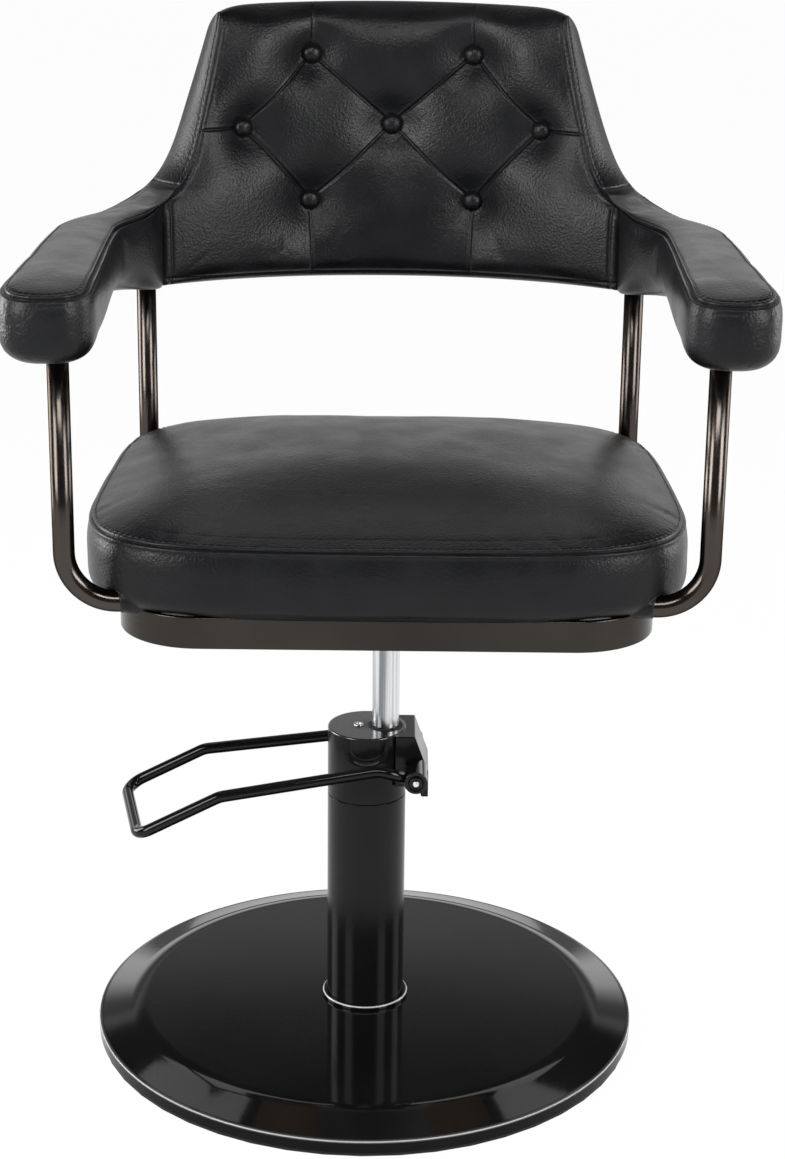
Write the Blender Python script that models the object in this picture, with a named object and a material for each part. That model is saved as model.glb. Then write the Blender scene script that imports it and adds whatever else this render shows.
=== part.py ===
"""Hydraulic hairdressing chair: a round pedestal with a foot pump, a ram that lifts and turns,
a padded seat on a frame of bent tubes, and a tufted barrel back with padded arms.

Metres, +Z up. The origin is on the floor under the ram's axis, and the chair faces -Y.
"""

import math

import bmesh
import bpy
import numpy as np
from mathutils import Matrix

# Clearances
CLEARANCE = 0.0003
SEW_GAP = 0.0006

# Base: floor pad, dished plate, foot flange
BASE_RADIUS = 0.270
PUMP_OFFSET = 0.018
PAD_THICKNESS = 0.003
PAD_INSET = 0.0012
RIM_HEIGHT = 0.0127
RIM_ROUND = 0.0022
DISH_RISE = 0.0128
DISH_FLAT_RADIUS = 0.226
DISH_WALL = 0.004
DISH_HUB_RADIUS = 0.085
DISH_HUB_THICKNESS = 0.008
FLANGE_RADIUS = 0.075
FLANGE_THICKNESS = 0.007
BASE_BOLT_CIRCLE = 0.058
BASE_BOLT_COUNT = 4

# Fasteners
BOLT_RADIUS = 0.004
BOLT_HEAD_RADIUS = 0.0068
BOLT_HEAD_HEIGHT = 0.0045
SCREW_RADIUS = 0.0025
SCREW_HEAD_RADIUS = 0.0050
SCREW_HEAD_HEIGHT = 0.0026
THREAD_DEPTH = 0.0055

# Column and pump head
COLUMN_RADIUS = 0.0386
COLUMN_WALL = 0.003
COLUMN_LENGTH = 0.2305
COLLAR_WIDTH = 0.0042
COLLAR_HEIGHT = 0.0042
HEAD_HEIGHT = 0.070
HEAD_ROUND = 0.002
BRACKET_STEP = 0.0006
BRACKET_REACH = 0.0425
BRACKET_SLOPE_FRONT = 0.0290
BRACKET_SLOPE_REAR = 0.0165
BRACKET_SHOULDER_DROP = 0.0375
BRACKET_FOOT_DROP = 0.0635
BRACKET_WALL = 0.0070
BRACKET_WEB_DROP = 0.0530
BRACKET_HALF_DEPTH = 0.030
FILLER_OFFSET = 0.0265
FILLER_RADIUS = 0.0050
FILLER_DEPTH = 0.0080
FILLER_SINK = 0.0012

# Ram and hydraulic pieces
RAM_RADIUS = 0.0134
RAM_LENGTH = 0.300
RAM_FIT = 0.0006
BUSH_WALL = 0.0030
BUSH_LENGTH = 0.033
SEAL_HEIGHT = 0.0070
SEAL_STAND = 0.0010
CYLINDER_WALL = 0.0026
PISTON_LENGTH = 0.020
PISTON_GROOVE_HEIGHT = 0.0050
PISTON_GROOVE_DEPTH = 0.0030

# Foot lever
PIVOT_X = 0.030
PIVOT_DROP = 0.0330
SHAFT_RADIUS = 0.005
SHAFT_SINK = 0.003
LEVER_HALF_SPAN = 0.061
LEVER_REAR_ROOT = 0.046
LEVER_RADIUS = 0.0058
LEVER_RISE_X = -0.006
LEVER_RISE = 0.009
LEVER_BEND_X = -0.160
LEVER_BEND_FALL = 0.0195
LEVER_FOOT_X = -0.2400
LEVER_SKEW = 0.0235
LEVER_FOOT_FALL = 0.0610
LEVER_CORNER_RADIUS = 0.016
LEVER_BEND_RADIUS = 0.020
HUB_RADIUS = 0.0092
HUB_OVERHANG = 0.0080
HUB_SCREW_HEAD_RADIUS = 0.0064
CAM_RADIUS = 0.0070
CAM_HALF_WIDTH = 0.0070
CAM_ARM = 0.0095
CAM_FINGER_LENGTH = 0.0112
CAM_FINGER_HALF = 0.0025
CAM_FINGER_INSET = 0.0005
CAM_START_ANGLE = math.radians(10)
CHAMBER_MARGIN = 0.0006
PLUNGER_RADIUS = 0.0018
PLUNGER_LENGTH = 0.0120
PLUNGER_STROKE_ROOM = 0.0045

# Seat socket, plate and rails
SEAT_PLATE_HEIGHT = 0.4805
SEAT_PLATE_SIDE = 0.215
SEAT_PLATE_CORNER = 0.015
SEAT_PLATE_THICKNESS = 0.006
SOCKET_RADIUS = 0.028
SOCKET_LENGTH = 0.040
SOCKET_ROOF = 0.004
RAIL_SPACING = 0.180
RAIL_WIDTH = 0.025
RAIL_CORNER = 0.002
RAIL_HEIGHT = 0.0147
PLATE_BOLT_SPACING = 0.120
PLATE_BOLT_DEPTH = 0.011

# Tube frame and band
TUBE_RADIUS = 0.0097
TUBE_WALL = 0.0018
TUBE_SIDES = 14
TUBE_BEND_RADIUS = 0.045
FRONT_TUBE_X = 0.286
FRONT_TUBE_Y = -0.185
FRONT_TUBE_DEPTH = 0.016
REAR_TUBE_ANGLE = math.radians(44.2)
REAR_TUBE_DEPTH = 0.068
BAND_HALF_WIDTH = 0.2420
BAND_FRONT_Y = -0.2128
BAND_REAR_Y = 0.208
BAND_CORNER_RADIUS = 0.075
BAND_THICKNESS = 0.005
BAND_HEIGHT = 0.0293
BAND_DROP = 0.0038

# Seat board and cushion
SEAT_BOARD_THICKNESS = 0.015
SEAT_BOARD_INSET = 0.0230
FRAME_BOLT_DEPTH = 0.0105
SEAT_HALF_WIDTH = 0.273
SEAT_FRONT_Y = -0.224
SEAT_REAR_Y = 0.227
SEAT_TAPER = 0.044
SEAT_FRONT_POWER = 4.2
SEAT_REAR_POWER = 4.6
SEAT_SIDE_HEIGHT = 0.0625
SEAT_CROWN = 0.040
SEAT_CROWN_POWER = 2.6
SEAT_SEAM_INSET = 0.004
SEAT_ROLL_INSET = 0.016
SEAT_ROLL_DROP = 0.014
SEAT_OUTLINE_COUNT = 48

# Arms
ARM_INNER_X = 0.2545
ARM_WIDTH = 0.080
ARM_REAR_WIDTH = 0.066
ARM_REAR_DROP = 0.0135
ARM_FRONT_Y = -0.243
ARM_BEND_Y = 0.040
ARM_BEND_PULL = 0.046
ARM_TOP_Z = 0.806
ARM_LOW_Z = 0.7377
ARM_SECTION_POWER = 4.5
ARM_SECTION_COUNT = 20
ARM_FRONT_ROUND = 0.040
ARM_FRONT_WIDTH_SHARE = 0.45
ARM_FRONT_HEIGHT_SHARE = 0.70
ARM_BOARD_WIDTH = 0.042
ARM_BOARD_CORNER = 0.008
ARM_BOARD_THICKNESS = 0.022
ARM_BOARD_FRONT_INSET = 0.030
ARM_BOARD_REAR_Y = 0.055
ARM_BOARD_LIFT = 0.0022
ARM_SCREW_RISE = 0.008

# Barrel back
BACK_RADIUS = 0.311
BACK_CENTRE_Y = 0.245
BACK_LOW_DIP = 0.0063
BACK_TOP_Z = 0.9870
BACK_TOP_ARCH = 0.0050
BACK_TOP_CORNER_DROP = 0.012
BACK_LEAN = 0.08
BACK_JOINT_X = 0.2235
BACK_TOP_X = 0.1650
BACK_SIDE_SLOPE = 0.20
BACK_FLARE_LENGTH = 0.018
BACK_LOW_THICKNESS = 0.070
BACK_MID_THICKNESS = 0.050
BACK_TOP_THICKNESS = 0.024
BACK_REAR_CROWN = 0.012
BACK_PUFF = 0.014
BACK_EDGE_ROUND = 0.030
BACK_PLEAT_WIDTH = 0.018
BACK_PLEAT_DEPTH = 0.010
BACK_TUFT_WIDTH = 0.022
BACK_TUFT_DEPTH = 0.004
BACK_COLUMNS = 27
BACK_ROWS = 17

# Buttons of the back
BUTTON_RADIUS = 0.0098
BUTTON_HEIGHT = 0.0075
BUTTON_SINK = 0.0010
BUTTON_TOP_X = 0.0810
BUTTON_TOP_SHARE = 0.8328
BUTTON_MID_X = 0.1485
BUTTON_MID_SHARE = 0.5745
BUTTON_LOW_X = 0.0824
BUTTON_LOW_SHARE = 0.2977

# Core board of the back and the bolts that hold the rear tube to it
BACK_BOARD_DEPTH = 0.0190
BACK_BOARD_THICKNESS = 0.0120
BACK_BOARD_LIFT = 0.0022
BACK_BOARD_TOP_DROP = 0.062
BACK_BOARD_LOW_X = 0.2170
BACK_BOARD_TOP_X = 0.105
BACK_BOARD_COLUMNS = 15
BACK_BOLT_RISE = 0.030
BACK_BOLT_RADIUS = 0.0030
BACK_BOLT_HEAD_RADIUS = 0.0055
BACK_BOLT_HEAD_HEIGHT = 0.0030
BACK_BOLT_GRIP = 0.0070

# Levels and places worked out from the sizes above
COLUMN_X = -PUMP_OFFSET
RIM_BOTTOM = PAD_THICKNESS + CLEARANCE
RIM_TOP = RIM_BOTTOM + RIM_HEIGHT
DISH_TOP = RIM_TOP + DISH_RISE
DISH_HUB_BOTTOM = DISH_TOP - DISH_HUB_THICKNESS
FLANGE_TOP = DISH_HUB_BOTTOM - CLEARANCE
FLANGE_BOTTOM = FLANGE_TOP - FLANGE_THICKNESS
COLUMN_BOTTOM = FLANGE_TOP + CLEARANCE
COLUMN_TOP = COLUMN_BOTTOM + COLUMN_LENGTH
HEAD_BOTTOM = COLUMN_TOP + CLEARANCE
HEAD_TOP = HEAD_BOTTOM + HEAD_HEIGHT
PIVOT_Z = HEAD_TOP - PIVOT_DROP
HUB_ENDS = {"front": LEVER_HALF_SPAN + HUB_OVERHANG, "rear": LEVER_REAR_ROOT + HUB_OVERHANG}
SOCKET_TOP = SEAT_PLATE_HEIGHT - CLEARANCE
SOCKET_BOTTOM = SOCKET_TOP - SOCKET_LENGTH
RAM_TOP = SOCKET_TOP - SOCKET_ROOF - CLEARANCE
RAM_BOTTOM = RAM_TOP - RAM_LENGTH
RAM_BORE = RAM_RADIUS + RAM_FIT
BUSH_RADIUS = RAM_BORE + BUSH_WALL
SEAL_TOP = HEAD_TOP + SEAL_STAND
BUSH_TOP = SEAL_TOP - SEAL_HEIGHT - CLEARANCE
PISTON_TOP = RAM_BOTTOM - CLEARANCE
PISTON_RADIUS = RAM_BORE - CLEARANCE
PLATE_TOP = SEAT_PLATE_HEIGHT + SEAT_PLATE_THICKNESS
RAIL_BOTTOM = PLATE_TOP + CLEARANCE
RAIL_TOP = RAIL_BOTTOM + RAIL_HEIGHT
RUN_Z = RAIL_TOP + CLEARANCE + TUBE_RADIUS
SEAT_BOARD_BOTTOM = RUN_Z + TUBE_RADIUS + CLEARANCE
SEAT_BOARD_TOP = SEAT_BOARD_BOTTOM + SEAT_BOARD_THICKNESS
SEAT_LOW_Z = SEAT_BOARD_BOTTOM - SEAT_ROLL_DROP
SEAT_SEAM_Z = SEAT_LOW_Z + SEAT_SIDE_HEIGHT
BAND_BOTTOM = SEAT_PLATE_HEIGHT - BAND_DROP
BAND_TOP = BAND_BOTTOM + BAND_HEIGHT
ARM_BOARD_BOTTOM = ARM_LOW_Z + ARM_BOARD_LIFT
BACK_LOW_Z = ARM_LOW_Z - ARM_REAR_DROP - BACK_LOW_DIP
BACK_AXIS_Y = BACK_CENTRE_Y - BACK_RADIUS
BACK_FLARE = BACK_JOINT_X - BACK_TOP_X - BACK_SIDE_SLOPE * (BACK_TOP_Z - ARM_TOP_Z)
BACK_BOARD_TOP_Z = BACK_TOP_Z - BACK_BOARD_TOP_DROP
BACK_HEIGHT = BACK_TOP_Z - BACK_LOW_Z
BUTTON_TOP_Z = BACK_LOW_Z + BUTTON_TOP_SHARE * BACK_HEIGHT
BUTTON_MID_Z = BACK_LOW_Z + BUTTON_MID_SHARE * BACK_HEIGHT
BUTTON_LOW_Z = BACK_LOW_Z + BUTTON_LOW_SHARE * BACK_HEIGHT
REAR_TUBE_TOP = BACK_LOW_Z + REAR_TUBE_DEPTH
REAR_TUBE_REACH = BACK_RADIUS + BACK_BOARD_DEPTH + BACK_BOARD_THICKNESS + CLEARANCE + TUBE_RADIUS
REAR_TUBE_X = REAR_TUBE_REACH * math.sin(REAR_TUBE_ANGLE)
REAR_TUBE_Y = (
    BACK_AXIS_Y
    + BACK_LEAN * (REAR_TUBE_TOP - BACK_LOW_Z)
    + REAR_TUBE_REACH * math.cos(REAR_TUBE_ANGLE)
)
FRONT_TUBE_TOP = ARM_BOARD_BOTTOM + FRONT_TUBE_DEPTH
SIDES = {"left": -1.0, "right": 1.0}
ENDS = {"front": -1.0, "rear": 1.0}


# Making and placing objects


def clear_scene():
    """Empty the scene, so that only the chair is in it."""
    for old in list(bpy.data.objects):
        bpy.data.objects.remove(old, do_unlink=True)


def make_finish(name, colour, roughness, metallic):
    """One surface finish as a Principled material."""
    finish = bpy.data.materials.new(name)
    finish.use_nodes = True
    shader = finish.node_tree.nodes["Principled BSDF"]
    shader.inputs["Base Color"].default_value = (*colour, 1.0)
    shader.inputs["Roughness"].default_value = roughness
    shader.inputs["Metallic"].default_value = metallic
    finish.diffuse_color = (*colour, 1.0)
    return finish


def make_axis(name, place, parent=None):
    """An empty on a joint's axis, which the moving pieces hang from."""
    axis = bpy.data.objects.new(name, None)
    bpy.context.scene.collection.objects.link(axis)
    axis.empty_display_size = TUBE_BEND_RADIUS
    axis.location = place
    axis.parent = parent
    return axis


def make_object(name, shape, finish=None, axis=None):
    """Turn a bmesh into a named object with smooth faces and sharp edges, hung from an axis."""
    bmesh.ops.remove_doubles(shape, verts=shape.verts, dist=1e-6)
    bmesh.ops.recalc_face_normals(shape, faces=shape.faces)
    mesh = bpy.data.meshes.new(name)
    shape.to_mesh(mesh)
    shape.free()
    mesh.shade_smooth()
    mesh.set_sharp_from_angle(angle=math.radians(35))
    piece = bpy.data.objects.new(name, mesh)
    bpy.context.scene.collection.objects.link(piece)
    if finish:
        mesh.materials.append(finish)
    if axis:
        piece.parent = axis
        piece.matrix_parent_inverse = Matrix.Translation(axis.location).inverted()
    return piece


def make_cutter(name, shape):
    """A shape that is only taken away from, or joined to, other pieces."""
    cutter = make_object(name, shape)
    cutter.hide_render = True
    cutter.display_type = "WIRE"
    return cutter


def combine(piece, other, operation):
    """Join another shape to the piece, or cut it out."""
    modifier = piece.modifiers.new(f"{operation.lower()} {other.name}", "BOOLEAN")
    modifier.operation = operation
    modifier.object = other


def cut(name, shape, *pieces):
    """Take a shape away from one piece or more."""
    cutter = make_cutter(name, shape)
    for piece in pieces:
        combine(piece, cutter, "DIFFERENCE")


def join(name, shape, piece):
    """Add a shape to a piece."""
    combine(piece, make_cutter(name, shape), "UNION")


# Basic shapes


def turned(profile, centre=(0.0, 0.0, 0.0), along=(0.0, 0.0, 1.0), steps=32):
    """Turn (radius, distance) points round a line: capped if the profile starts on it, or else a ring."""
    third = np.array(along) / np.linalg.norm(along)
    helper = np.array((0.0, 1.0, 0.0)) if abs(third[1]) < 0.9 else np.array((1.0, 0.0, 0.0))
    first = np.cross(helper, third)
    first /= np.linalg.norm(first)
    second = np.cross(third, first)
    angles = math.tau * np.arange(steps) / steps
    spokes = np.outer(np.cos(angles), first) + np.outer(np.sin(angles), second)
    off_line = [(radius, distance) for radius, distance in profile if radius > 0]
    rings = [np.array(centre) + radius * spokes + distance * third for radius, distance in off_line]
    return loft(rings, joined=profile[0][0] > 0)


def rod_profile(radius, low, high):
    """The profile of a plain round bar."""
    return [(0.0, high), (radius, high), (radius, low), (0.0, low)]


def ring_profile(inner, outer, low, high):
    """The profile of a plain ring or tube."""
    return [(inner, high), (outer, high), (outer, low), (inner, low)]


def bolt_profile(shank_radius, head_radius, head_height, length):
    """The profile of a bolt whose head hangs below zero and whose shank rises from it."""
    return [(0.0, length), (shank_radius, length), (shank_radius, 0.0), (head_radius, 0.0),
            (head_radius, -head_height), (0.0, -head_height)]


def loft(rings, joined=False):
    """Join a row of point rings with faces. The end rings are capped, or joined to each other."""
    shape = bmesh.new()
    rows = [[shape.verts.new(point) for point in ring] for ring in rings]
    pairs = list(zip(rows, rows[1:]))
    if joined:
        pairs.append((rows[-1], rows[0]))
    for low, high in pairs:
        for here in range(len(low)):
            there = (here + 1) % len(low)
            shape.faces.new((low[here], low[there], high[there], high[here]))
    if not joined:
        shape.faces.new(rows[0][::-1])
        shape.faces.new(rows[-1])
    return shape


def slab(front, rear):
    """Close the space between two point grids of one size."""
    rows, columns = front.shape[:2]
    shape = bmesh.new()
    near = [[shape.verts.new(point) for point in row] for row in front]
    far = [[shape.verts.new(point) for point in row] for row in rear]
    for i in range(rows - 1):
        for j in range(columns - 1):
            for corners in (((i, j), (i, j + 1), (i + 1, j + 1)), ((i, j), (i + 1, j + 1), (i + 1, j))):
                shape.faces.new([near[a][b] for a, b in corners])
                shape.faces.new([far[a][b] for a, b in corners[::-1]])
    border = [(0, j) for j in range(columns - 1)]
    border += [(i, columns - 1) for i in range(rows - 1)]
    border += [(rows - 1, j) for j in range(columns - 1, 0, -1)]
    border += [(i, 0) for i in range(rows - 1, 0, -1)]
    for (a, b), (c, d) in zip(border, border[1:] + border[:1]):
        shape.faces.new((near[c][d], near[a][b], far[a][b], far[c][d]))
    return shape


def prism(outline, low, high):
    """An upright prism on a plan outline."""
    rings = [[(x, y, level) for x, y in outline] for level in (low, high)]
    return loft(rings)


def side_prism(front, rear, half_depth):
    """A solid along Y between a front and a rear outline in the XZ plane."""
    rings = [[(x, y, z) for x, z in outline] for outline, y in ((front, -half_depth), (rear, half_depth))]
    return loft(rings)


def rounded_rectangle(x_low, x_high, y_low, y_high, radius, steps=8):
    """A plan rectangle with round corners."""
    points = []
    corners = ((x_high, y_high, 0), (x_low, y_high, 1), (x_low, y_low, 2), (x_high, y_low, 3))
    for x, y, quarter in corners:
        centre_x = x - math.copysign(radius, x - 0.5 * (x_low + x_high))
        centre_y = y - math.copysign(radius, y - 0.5 * (y_low + y_high))
        for step in range(steps + 1):
            angle = math.pi / 2 * (quarter + step / steps)
            points.append((centre_x + radius * math.cos(angle), centre_y + radius * math.sin(angle)))
    return points


def rounded_path(corners, radii, steps=6):
    """Points along straight runs joined by arcs, one radius for each inner corner."""
    corners = [np.array(corner, float) for corner in corners]
    path = [corners[0]]
    for before, corner, after, radius in zip(corners, corners[1:], corners[2:], radii):
        come = (corner - before) / np.linalg.norm(corner - before)
        leave = (after - corner) / np.linalg.norm(after - corner)
        turn = math.acos(np.clip(come @ leave, -1.0, 1.0))
        inward = leave - come * (come @ leave)
        inward /= np.linalg.norm(inward)
        start = corner - come * radius * math.tan(turn / 2)
        centre = start + inward * radius
        for step in range(steps + 1):
            angle = turn * step / steps
            path.append(centre - inward * radius * math.cos(angle) + come * radius * math.sin(angle))
    path.append(corners[-1])
    return np.array(path)


def rings_along(path, radius, sides):
    """Round sections along a path, each turned as little as can be from the one before."""
    steps = np.diff(path, axis=0)
    steps /= np.linalg.norm(steps, axis=1)[:, None]
    tangents = np.vstack((steps[:1], steps[:-1] + steps[1:], steps[-1:]))
    tangents /= np.linalg.norm(tangents, axis=1)[:, None]
    angles = math.tau * np.arange(sides) / sides
    across = np.array((0.0, 1.0, 0.0))
    rings = []
    for point, tangent in zip(path, tangents):
        across = across - tangent * (across @ tangent)
        across /= np.linalg.norm(across)
        other = np.cross(tangent, across)
        rings.append(point + radius * (np.outer(np.cos(angles), across) + np.outer(np.sin(angles), other)))
    return np.array(rings)


# Plan of the seat, and surfaces of the arms and the back


def seat_outline(inset):
    """The seat's plan: a superellipse that narrows to the rear, drawn in by an inset."""
    half_depth = 0.5 * (SEAT_REAR_Y - SEAT_FRONT_Y)
    centre_y = 0.5 * (SEAT_REAR_Y + SEAT_FRONT_Y)
    angle = math.tau * (np.arange(SEAT_OUTLINE_COUNT) + 0.5) / SEAT_OUTLINE_COUNT
    power = np.where(np.sin(angle) < 0, SEAT_FRONT_POWER, SEAT_REAR_POWER)
    along = np.sign(np.cos(angle)) * np.abs(np.cos(angle)) ** (2 / power)
    deep = np.sign(np.sin(angle)) * np.abs(np.sin(angle)) ** (2 / power)
    half_width = SEAT_HALF_WIDTH - SEAT_TAPER * half_depth * deep
    return np.column_stack(((half_width - inset) * along, centre_y + (half_depth - inset) * deep))


def ease(share):
    """A smooth step from 0 to 1."""
    share = np.clip(share, 0.0, 1.0)
    return share * share * (3.0 - 2.0 * share)


def back_point(x, z, depth):
    """A point of the barrel back: x along its inner face, z up, and depth rearwards from that face."""
    x, z, depth = np.broadcast_arrays(x, z, depth)
    sine = x / BACK_RADIUS
    cosine = np.sqrt(1.0 - sine**2)
    reach = BACK_RADIUS + depth
    y = BACK_AXIS_Y + BACK_LEAN * (z - BACK_LOW_Z) + reach * cosine
    return np.stack((reach * sine, y, z), axis=-1)


def back_side_x(z):
    """Half the width of the back's inner face: upright beside the arms, then flared in and sloping."""
    above = np.maximum(z - ARM_TOP_Z, 0.0)
    return np.where(
        z < ARM_TOP_Z,
        BACK_JOINT_X,
        BACK_TOP_X + BACK_SIDE_SLOPE * (BACK_TOP_Z - z) + BACK_FLARE * np.exp(-above / BACK_FLARE_LENGTH),
    )


def back_low_z(x):
    """The back's lower edge, which dips to the middle."""
    return BACK_LOW_Z + BACK_LOW_DIP * (x / BACK_JOINT_X) ** 2


def back_thickness(z):
    """The back's thickness at its side edges, thinner towards the top."""
    levels = (BACK_LOW_Z, ARM_TOP_Z, BACK_TOP_Z)
    return np.interp(z, levels, (BACK_LOW_THICKNESS, BACK_MID_THICKNESS, BACK_TOP_THICKNESS))


def button_places():
    """Where the buttons sit on the back's inner face, as (x, z)."""
    places = [(0.0, BUTTON_MID_Z)]
    for side in (-1.0, 1.0):
        places += [(side * BUTTON_TOP_X, BUTTON_TOP_Z), (side * BUTTON_MID_X, BUTTON_MID_Z),
                   (side * BUTTON_LOW_X, BUTTON_LOW_Z)]
    return places


def pleat_lines():
    """The sewn pleats, each from a button to a neighbour or straight to the nearest edge."""
    middle = (0.0, BUTTON_MID_Z)
    lines = []
    for side in (-1.0, 1.0):
        top = (side * BUTTON_TOP_X, BUTTON_TOP_Z)
        outer = (side * BUTTON_MID_X, BUTTON_MID_Z)
        low = (side * BUTTON_LOW_X, BUTTON_LOW_Z)
        lines += [(middle, top), (middle, low), (outer, top), (outer, low)]
        lines += [(top, (top[0], BACK_TOP_Z)), (low, (low[0], BACK_LOW_Z)),
                  (outer, (side * BACK_JOINT_X, BUTTON_MID_Z))]
    return lines


def distance_to_line(x, z, line):
    """Distance of points from a straight piece between two ends."""
    start, end = np.array(line[0]), np.array(line[1])
    run = end - start
    share = np.clip(((x - start[0]) * run[0] + (z - start[1]) * run[1]) / (run @ run), 0.0, 1.0)
    return np.hypot(x - start[0] - share * run[0], z - start[1] - share * run[1])


def back_grids():
    """The tufted inner face and the crowned rear face of the back."""
    across, up = np.meshgrid(np.linspace(-1, 1, BACK_COLUMNS), np.linspace(0, 1, BACK_ROWS))
    low = back_low_z(across * BACK_JOINT_X)
    top = BACK_TOP_Z + BACK_TOP_ARCH * (1 - across**2) - BACK_TOP_CORNER_DROP * np.abs(across) ** 12
    z = low + up * (top - low)
    side = back_side_x(z)
    x = across * side
    to_edge = np.minimum(np.minimum(side - np.abs(x), z - low), top - z)
    edge = 1 - (1 - np.clip(to_edge / BACK_EDGE_ROUND, 0, 1)) ** 2
    pleat = np.max([np.exp(-(distance_to_line(x, z, line) / BACK_PLEAT_WIDTH) ** 2)
                    for line in pleat_lines()], axis=0)
    tuft = np.max([np.exp(-(np.hypot(x - place[0], z - place[1]) / BACK_TUFT_WIDTH) ** 2)
                   for place in button_places()], axis=0)
    puff = edge * (BACK_PUFF - BACK_PLEAT_DEPTH * pleat - BACK_TUFT_DEPTH * tuft)
    crown = BACK_REAR_CROWN * (1 - across**4) * (1 - (2 * up - 1) ** 4)
    return back_point(x, z, -puff), back_point(x, z, back_thickness(z) + crown)


def back_board_grids(margin, lift):
    """Front and rear of the back's core board, grown by a margin, from a lift above the lower edge."""
    across = np.linspace(-1, 1, BACK_BOARD_COLUMNS)
    grids = []
    for depth in (BACK_BOARD_DEPTH - margin, BACK_BOARD_DEPTH + BACK_BOARD_THICKNESS + margin):
        rows = []
        for level, half in ((None, BACK_BOARD_LOW_X), (ARM_TOP_Z, BACK_BOARD_LOW_X),
                            (BACK_BOARD_TOP_Z + margin, BACK_BOARD_TOP_X)):
            x = across * (half + margin)
            z = back_low_z(x) + lift if level is None else np.full_like(x, level)
            rows.append(back_point(x, z, depth))
        grids.append(np.array(rows))
    return grids


def arm_rings(side):
    """Sections of an arm pad, from its round front end, along the arm, to the side of the back."""
    angle = math.tau * np.arange(ARM_SECTION_COUNT) / ARM_SECTION_COUNT
    across = np.sign(np.cos(angle)) * np.abs(np.cos(angle)) ** (2 / ARM_SECTION_POWER)
    upward = np.sign(np.sin(angle)) * np.abs(np.sin(angle)) ** (2 / ARM_SECTION_POWER)
    rings = []
    for share in np.linspace(0.0, 1.0, 5):
        round_off = math.sqrt(1 - (1 - share) ** 2)
        wide = ARM_FRONT_WIDTH_SHARE + (1 - ARM_FRONT_WIDTH_SHARE) * round_off
        tall = ARM_FRONT_HEIGHT_SHARE + (1 - ARM_FRONT_HEIGHT_SHARE) * round_off
        x = ARM_INNER_X + ARM_WIDTH * (0.5 + 0.5 * across * wide)
        y = np.full_like(x, ARM_FRONT_Y + ARM_FRONT_ROUND * share)
        z = ARM_LOW_Z + (ARM_TOP_Z - ARM_LOW_Z) * (0.5 + 0.5 * upward * tall)
        rings.append(np.column_stack((x, y, z)))
    out = 0.5 + 0.5 * across
    joint_z = ARM_TOP_Z - (ARM_TOP_Z - ARM_LOW_Z + ARM_REAR_DROP) * (0.5 - 0.5 * upward)
    joint_x = np.full_like(joint_z, BACK_JOINT_X + SEW_GAP)
    joint = back_point(joint_x, joint_z, 0.0)
    joint_turn = math.pi / 2 - np.arcsin(joint_x / BACK_RADIUS)
    for share in np.linspace(0.0, 1.0, 8):
        weights = ((1 - share) ** 3, 3 * share * (1 - share) ** 2, 3 * share**2 * (1 - share), share**3)
        inner_x = (weights[0] + weights[1]) * ARM_INNER_X + (weights[2] + weights[3]) * joint[:, 0]
        inner_y = ((weights[0] + weights[1]) * ARM_BEND_Y + weights[1] * ARM_BEND_PULL
                   + (weights[2] + weights[3]) * joint[:, 1] - weights[2] * ARM_BEND_PULL)
        blend = ease(share)
        z = ARM_TOP_Z - (ARM_TOP_Z - ARM_LOW_Z + blend * ARM_REAR_DROP) * (0.5 - 0.5 * upward)
        width = (1 - blend) * ARM_REAR_WIDTH + blend * back_thickness(joint_z)
        turn = blend * joint_turn
        rings.append(np.column_stack((inner_x + out * width * np.cos(turn),
                                      inner_y + out * width * np.sin(turn), z)))
    rings = np.array(rings)
    rings[:, :, 0] *= side
    return rings


# Groups of pieces


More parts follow.
